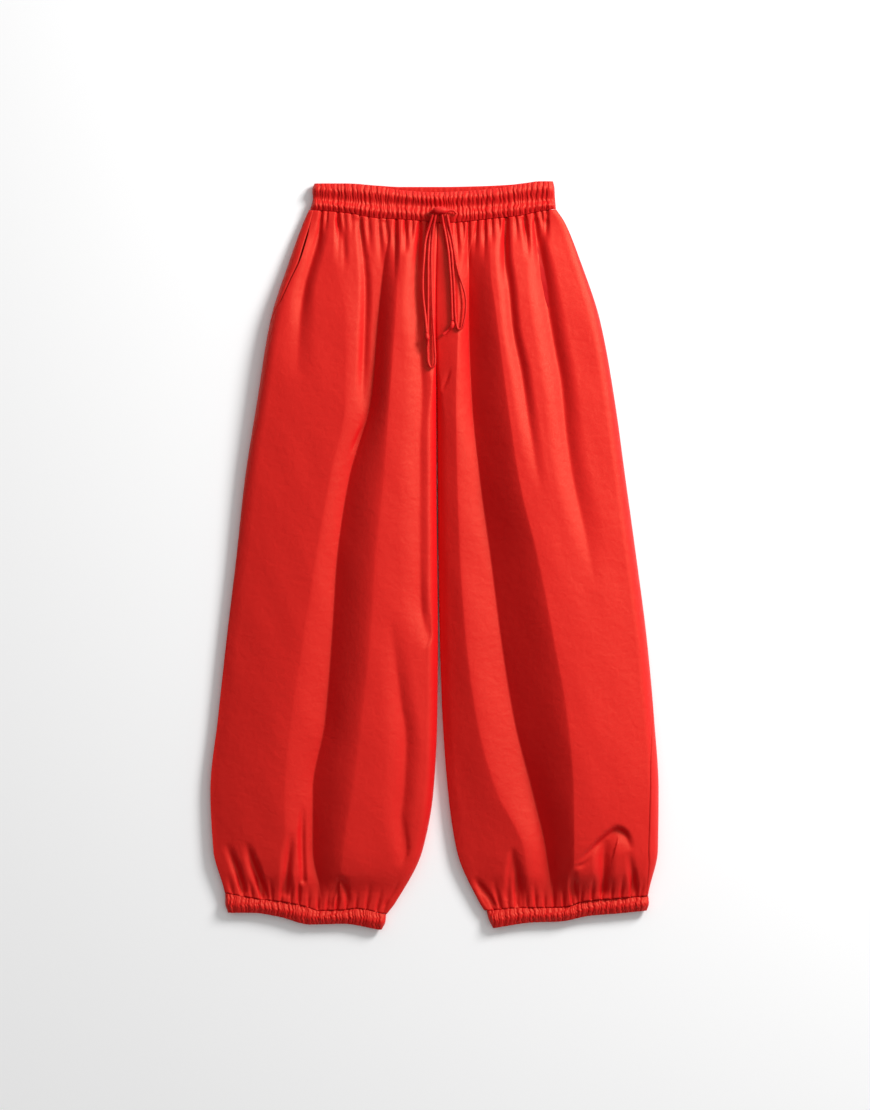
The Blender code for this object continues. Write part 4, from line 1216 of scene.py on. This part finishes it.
@dataclass
class PocketBag:
    """An in-seam pocket's bag, hidden inside the leg. It keeps to its solid's own form."""

    node: str

    def build(self, cloth: bpy.types.Material) -> bpy.types.Object:
        """Copies the solid's form as one smooth mesh.

        Args:
            cloth: the pocketing.

        Returns:
            The piece.
        """
        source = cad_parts[self.node].data
        mesh = source.copy()
        mesh.name = self.node + "_lining"
        mesh.transform(Matrix.Translation((0, 0, -2.4 * MM)))
        piece = bpy.data.objects.new(self.node + "_lining", mesh)
        bpy.context.scene.collection.objects.link(piece)
        weld = piece.modifiers.new("weld", "WELD")
        weld.merge_threshold = 0.01 * MM
        refine = piece.modifiers.new("refine", "SUBSURF")
        refine.levels = 1
        refine.render_levels = 1
        finished = bpy.data.meshes.new_from_object(
            piece.evaluated_get(bpy.context.evaluated_depsgraph_get()))
        piece.modifiers.clear()
        piece.data = finished
        finished.materials.clear()
        finished.materials.append(cloth)
        finished.shade_smooth()
        return piece


def smooth_route(route: Rows, step: float) -> np.ndarray:
    """Points about a step apart on a smooth curve through a route's own points.

    Args:
        route: the points that the curve goes through, in metres.
        step: how far apart the new points lie.

    Returns:
        One row for each new point.
    """
    table = np.array(route, float)
    chords = np.linalg.norm(np.diff(table[:, :3], axis=0), axis=1)
    along = np.concatenate([[0], np.cumsum(chords)])
    slopes = np.gradient(table, along, axis=0)
    at = np.linspace(0, along[-1], max(2, round(along[-1] / step) + 1))
    i = np.clip(np.searchsorted(along, at, side="right") - 1, 0, len(along) - 2)
    h = (along[i + 1] - along[i])[:, None]
    t = (at - along[i])[:, None] / h
    return (
        table[i] * (1 + 2 * t) * (1 - t) ** 2
        + slopes[i] * h * t * (1 - t) ** 2
        + table[i + 1] * t * t * (3 - 2 * t)
        - slopes[i + 1] * h * t * t * (1 - t)
    )


@dataclass
class Drawstring:
    """The drawstring: a narrow tube of the trousers' own cloth, tied in a bow."""

    step: float = 0.0022
    bevel: int = 6

    def tube(self, name: str, points: np.ndarray, radii: np.ndarray,
             cloth: bpy.types.Material) -> bpy.types.Object:
        """A round cord through the given points.

        Args:
            name: the piece's name.
            points: its centreline, in metres.
            radii: its radius at each point, in metres.
            cloth: what it is made of.

        Returns:
            The piece.
        """
        curve = bpy.data.curves.new(name, "CURVE")
        curve.dimensions = "3D"
        curve.bevel_depth = MM
        curve.bevel_resolution = self.bevel
        curve.use_fill_caps = True
        spline = curve.splines.new("POLY")
        spline.points.add(len(points) - 1)
        for control, place, radius in zip(spline.points, points, radii):
            control.co = (*place, 1.0)
            control.radius = radius / MM
        curve.materials.append(cloth)
        piece = bpy.data.objects.new(name, curve)
        bpy.context.scene.collection.objects.link(piece)
        return piece

    def build(self, cloth: bpy.types.Material) -> dict[str, bpy.types.Object]:
        """Makes the cords and their knots, and puts each on its body in place of its solid.

        Args:
            cloth: what they are made of.

        Returns:
            The pieces by node name.
        """
        made = {}
        for name, route in CORD_ROUTES.items():
            points = smooth_route(route, self.step)
            uneven = 1 + 0.05 * np.sin(np.arange(len(points)) * 0.9)
            made[name] = self.tube(name + "_cord", points, CORD_DIAMETER / 2 * uneven, cloth)
        for name, route in KNOT_ROUTES.items():
            points = smooth_route(route, self.step / 4)
            made[name] = self.tube(name + "_cord", points[:, :3], points[:, 3], cloth)
        for name, piece in made.items():
            finish_piece(piece, name)
        return made


def finish_piece(piece: bpy.types.Object, node: str) -> None:
    """Puts a piece on its body in place of its solid.

    Args:
        piece: the piece.
        node: the solid that it stands for.
    """
    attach(piece, "root")
    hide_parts(node)
    log.info("%s stands for %s", piece.name, node)


@dataclass
class Studio:
    """A pale floor, a soft key light from the upper right and an even fill."""

    pixel_mm: float = 1.365
    distance: float = 6.0
    edge_height: float = 0.012
    photo_height_px: int = 1110
    key_azimuth: float = 42.0
    key_elevation: float = 29.0
    key_distance: float = 3.2
    key_size: float = 1.1
    key_power: float = 122.0
    fill_low: float = 0.0
    fill_high: float = 0.62

    def build(self) -> None:
        """Makes the floor, the lights and the camera."""
        mesh = bpy.data.meshes.new("floor")
        half = 6.0
        corners = [(-half, -half, 0), (half, -half, 0), (half, half, 0), (-half, half, 0)]
        mesh.from_pydata(corners, [], [(0, 1, 2, 3)])
        mesh.materials.append(FloorFinish().material())
        floor = bpy.data.objects.new("floor", mesh)
        bpy.context.scene.collection.objects.link(floor)
        world = bpy.data.worlds.new("fill_light")
        world.use_nodes = True
        background = world.node_tree.nodes["Background"]
        background.inputs["Color"].default_value = (1, 1, 1, 1)
        azimuth = math.radians(self.key_azimuth)
        elevation = math.radians(self.key_elevation)
        way = Vector((math.cos(azimuth) * math.cos(elevation),
                      math.sin(azimuth) * math.cos(elevation), math.sin(elevation)))
        tree = world.node_tree
        ray = add_node(tree, "ShaderNodeTexCoord").outputs["Generated"]
        towards = add_node(tree, "ShaderNodeVectorMath", {0: ray, 1: way}, operation="DOT_PRODUCT")
        strength = add_node(tree, "ShaderNodeMapRange", {
            "Value": towards.outputs["Value"], "From Min": -0.45, "From Max": 0.3,
            "To Min": self.fill_low, "To Max": self.fill_high}, interpolation_type="SMOOTHSTEP")
        tree.links.new(strength.outputs["Result"], background.inputs["Strength"])
        bpy.context.scene.world = world
        lamp = bpy.data.lights.new("key_light", "AREA")
        lamp.shape = "DISK"
        lamp.size = self.key_size
        lamp.energy = self.key_power
        light = bpy.data.objects.new("key_light", lamp)
        light.location = way * self.key_distance
        light.rotation_euler = (-way).to_track_quat("-Z", "Y").to_euler()
        bpy.context.scene.collection.objects.link(light)
        self.camera()

    def camera(self) -> None:
        """Looks straight down with a long lens, as the photo does."""
        made = bpy.data.cameras.new("camera")
        span = self.photo_height_px * self.pixel_mm * MM
        made.sensor_width = 36.0
        made.lens = made.sensor_width * (self.distance - self.edge_height) / span
        made.clip_end = 50.0
        camera = bpy.data.objects.new("camera", made)
        camera.location = (0.5 * self.pixel_mm * MM, 0.5 * self.pixel_mm * MM, self.distance)
        bpy.context.scene.collection.objects.link(camera)
        bpy.context.scene.camera = camera


def build_trousers() -> None:
    """Makes every panel, strip and bag."""
    taffeta = TaffetaFinish("red_taffeta", "d10a14", "d71117").material()
    gathered = TaffetaFinish("gathered_red_taffeta", "ce0914", "d40e16",
                             crinkle_mm=5.0, crinkle_depth_mm=0.3).material()
    lining = TaffetaFinish("red_pocketing", "b80c18", "c0101a", specular=0.15,
                           crinkle_depth_mm=0.2).material()
    legs = (
        Leg(Side.LEFT, LEFT_LINES, LEFT_HEIGHTS, LEFT_CREASES, LEFT_FINE, LEFT_WAIST_GATHERS,
            LEFT_HEM_GATHERS, LEFT_SIDE_SEAM, LEFT_CUFF_SEAM, LEFT_RISE),
        Leg(Side.RIGHT, RIGHT_LINES, RIGHT_HEIGHTS, RIGHT_CREASES, RIGHT_FINE,
            RIGHT_WAIST_GATHERS, RIGHT_HEM_GATHERS, RIGHT_SIDE_SEAM, RIGHT_CUFF_SEAM,
            RIGHT_RISE, columns=(10, 30, 34, 52, 98, 10)),
    )
    for leg in legs:
        side = leg.side.value
        front, back = leg.build(taffeta)
        finish_piece(front, f"front_{side}")
        finish_piece(back, f"back_{side}")
    build_band(gathered)
    build_cuffs(gathered)
    for side in Side:
        node = f"pocket_bag_{side.value}"
        bag = PocketBag(node).build(lining)
        finish_piece(bag, node)


def build_band(cloth: bpy.types.Material) -> None:
    """Makes the waistband's front and back."""
    seam = tuple((x, y + CROSS_HALF_GAP) for x, y in BAND_SEAM)
    front = GatheredChannel("waistband_front_cloth", seam, BAND_FRONT_TOP, BAND_END_ROWS,
                            BAND_FRONT_PROFILE, (LOWER_CHANNEL_GATHERS, UPPER_CHANNEL_GATHERS),
                            BAND_TURN_Z, BAND_ROLL, BAND_MIDDLE).build(cloth)
    finish_piece(front, "waistband_front")
    back = ChannelBack("waistband_back_cloth", seam, BAND_BACK_TOP, BAND_END_ROWS, BAND_TURN_Z,
                       LOWER_CHANNEL_GATHERS).build(cloth)
    finish_piece(back, "waistband_back")


def cuff_gathers(ends: Rows, pitch: float, phase: float) -> Rows:
    """Where a cuff's gathers lie and how deep each is.

    Args:
        ends: the cuff's ends.
        pitch: how far apart they lie on average.
        phase: makes one cuff's differ from the other's.

    Returns:
        The place and the share of the deepest, for each.
    """
    start = ends[0][1] + 5
    count = int((ends[0][2] - 5 - start) / pitch)
    made = []
    for k in range(count + 1):
        shift = 1.5 * math.sin(k * 2.1 + phase) + 0.8 * math.sin(k * 5.3 + 2 * phase)
        made.append((start + k * pitch + shift, 0.7 + 0.3 * math.sin(k * 1.7 + phase)))
    return tuple(made)


def build_cuffs(cloth: bpy.types.Material) -> None:
    """Makes both cuffs."""
    for side, seam, hem, ends, phase in (
        (Side.LEFT, LEFT_CUFF_SEAM, LEFT_CUFF_HEM, LEFT_CUFF_ENDS, 0.4),
        (Side.RIGHT, RIGHT_CUFF_SEAM, RIGHT_CUFF_HEM, RIGHT_CUFF_ENDS, 1.9),
    ):
        sewn = tuple((x, y - CROSS_HALF_GAP) for x, y in seam)
        gathers = cuff_gathers(ends, 5.4, phase)
        front = GatheredChannel(f"cuff_{side.value}_front_cloth", sewn, hem, ends, CUFF_PROFILE,
                                (gathers,), CUFF_TURN_Z, CUFF_ROLL, columns=521,
                                rows=25).build(cloth)
        finish_piece(front, f"cuff_{side.value}_front")
        back = ChannelBack(f"cuff_{side.value}_back_cloth", sewn, hem, ends, CUFF_TURN_Z,
                           gathers, rows=13).build(cloth)
        finish_piece(back, f"cuff_{side.value}_back")


def main() -> None:
    """Builds the studio, the drawstring and the trousers, in that order."""
    logging.basicConfig(level=logging.INFO, format="%(message)s")
    bpy.context.scene.view_settings.view_transform = "Standard"
    for name in ("Cube", "Light", "Camera"):
        if name in bpy.data.objects:
            bpy.data.objects.remove(bpy.data.objects[name])
    Studio().build()
    cord = TaffetaFinish("red_rouleau_cord", "ce0c18", "d8121c", crinkle_mm=2.4,
                         crinkle_depth_mm=0.4).material()
    Drawstring().build(cord)
    build_trousers()


if __name__ == "__main__":
    main()
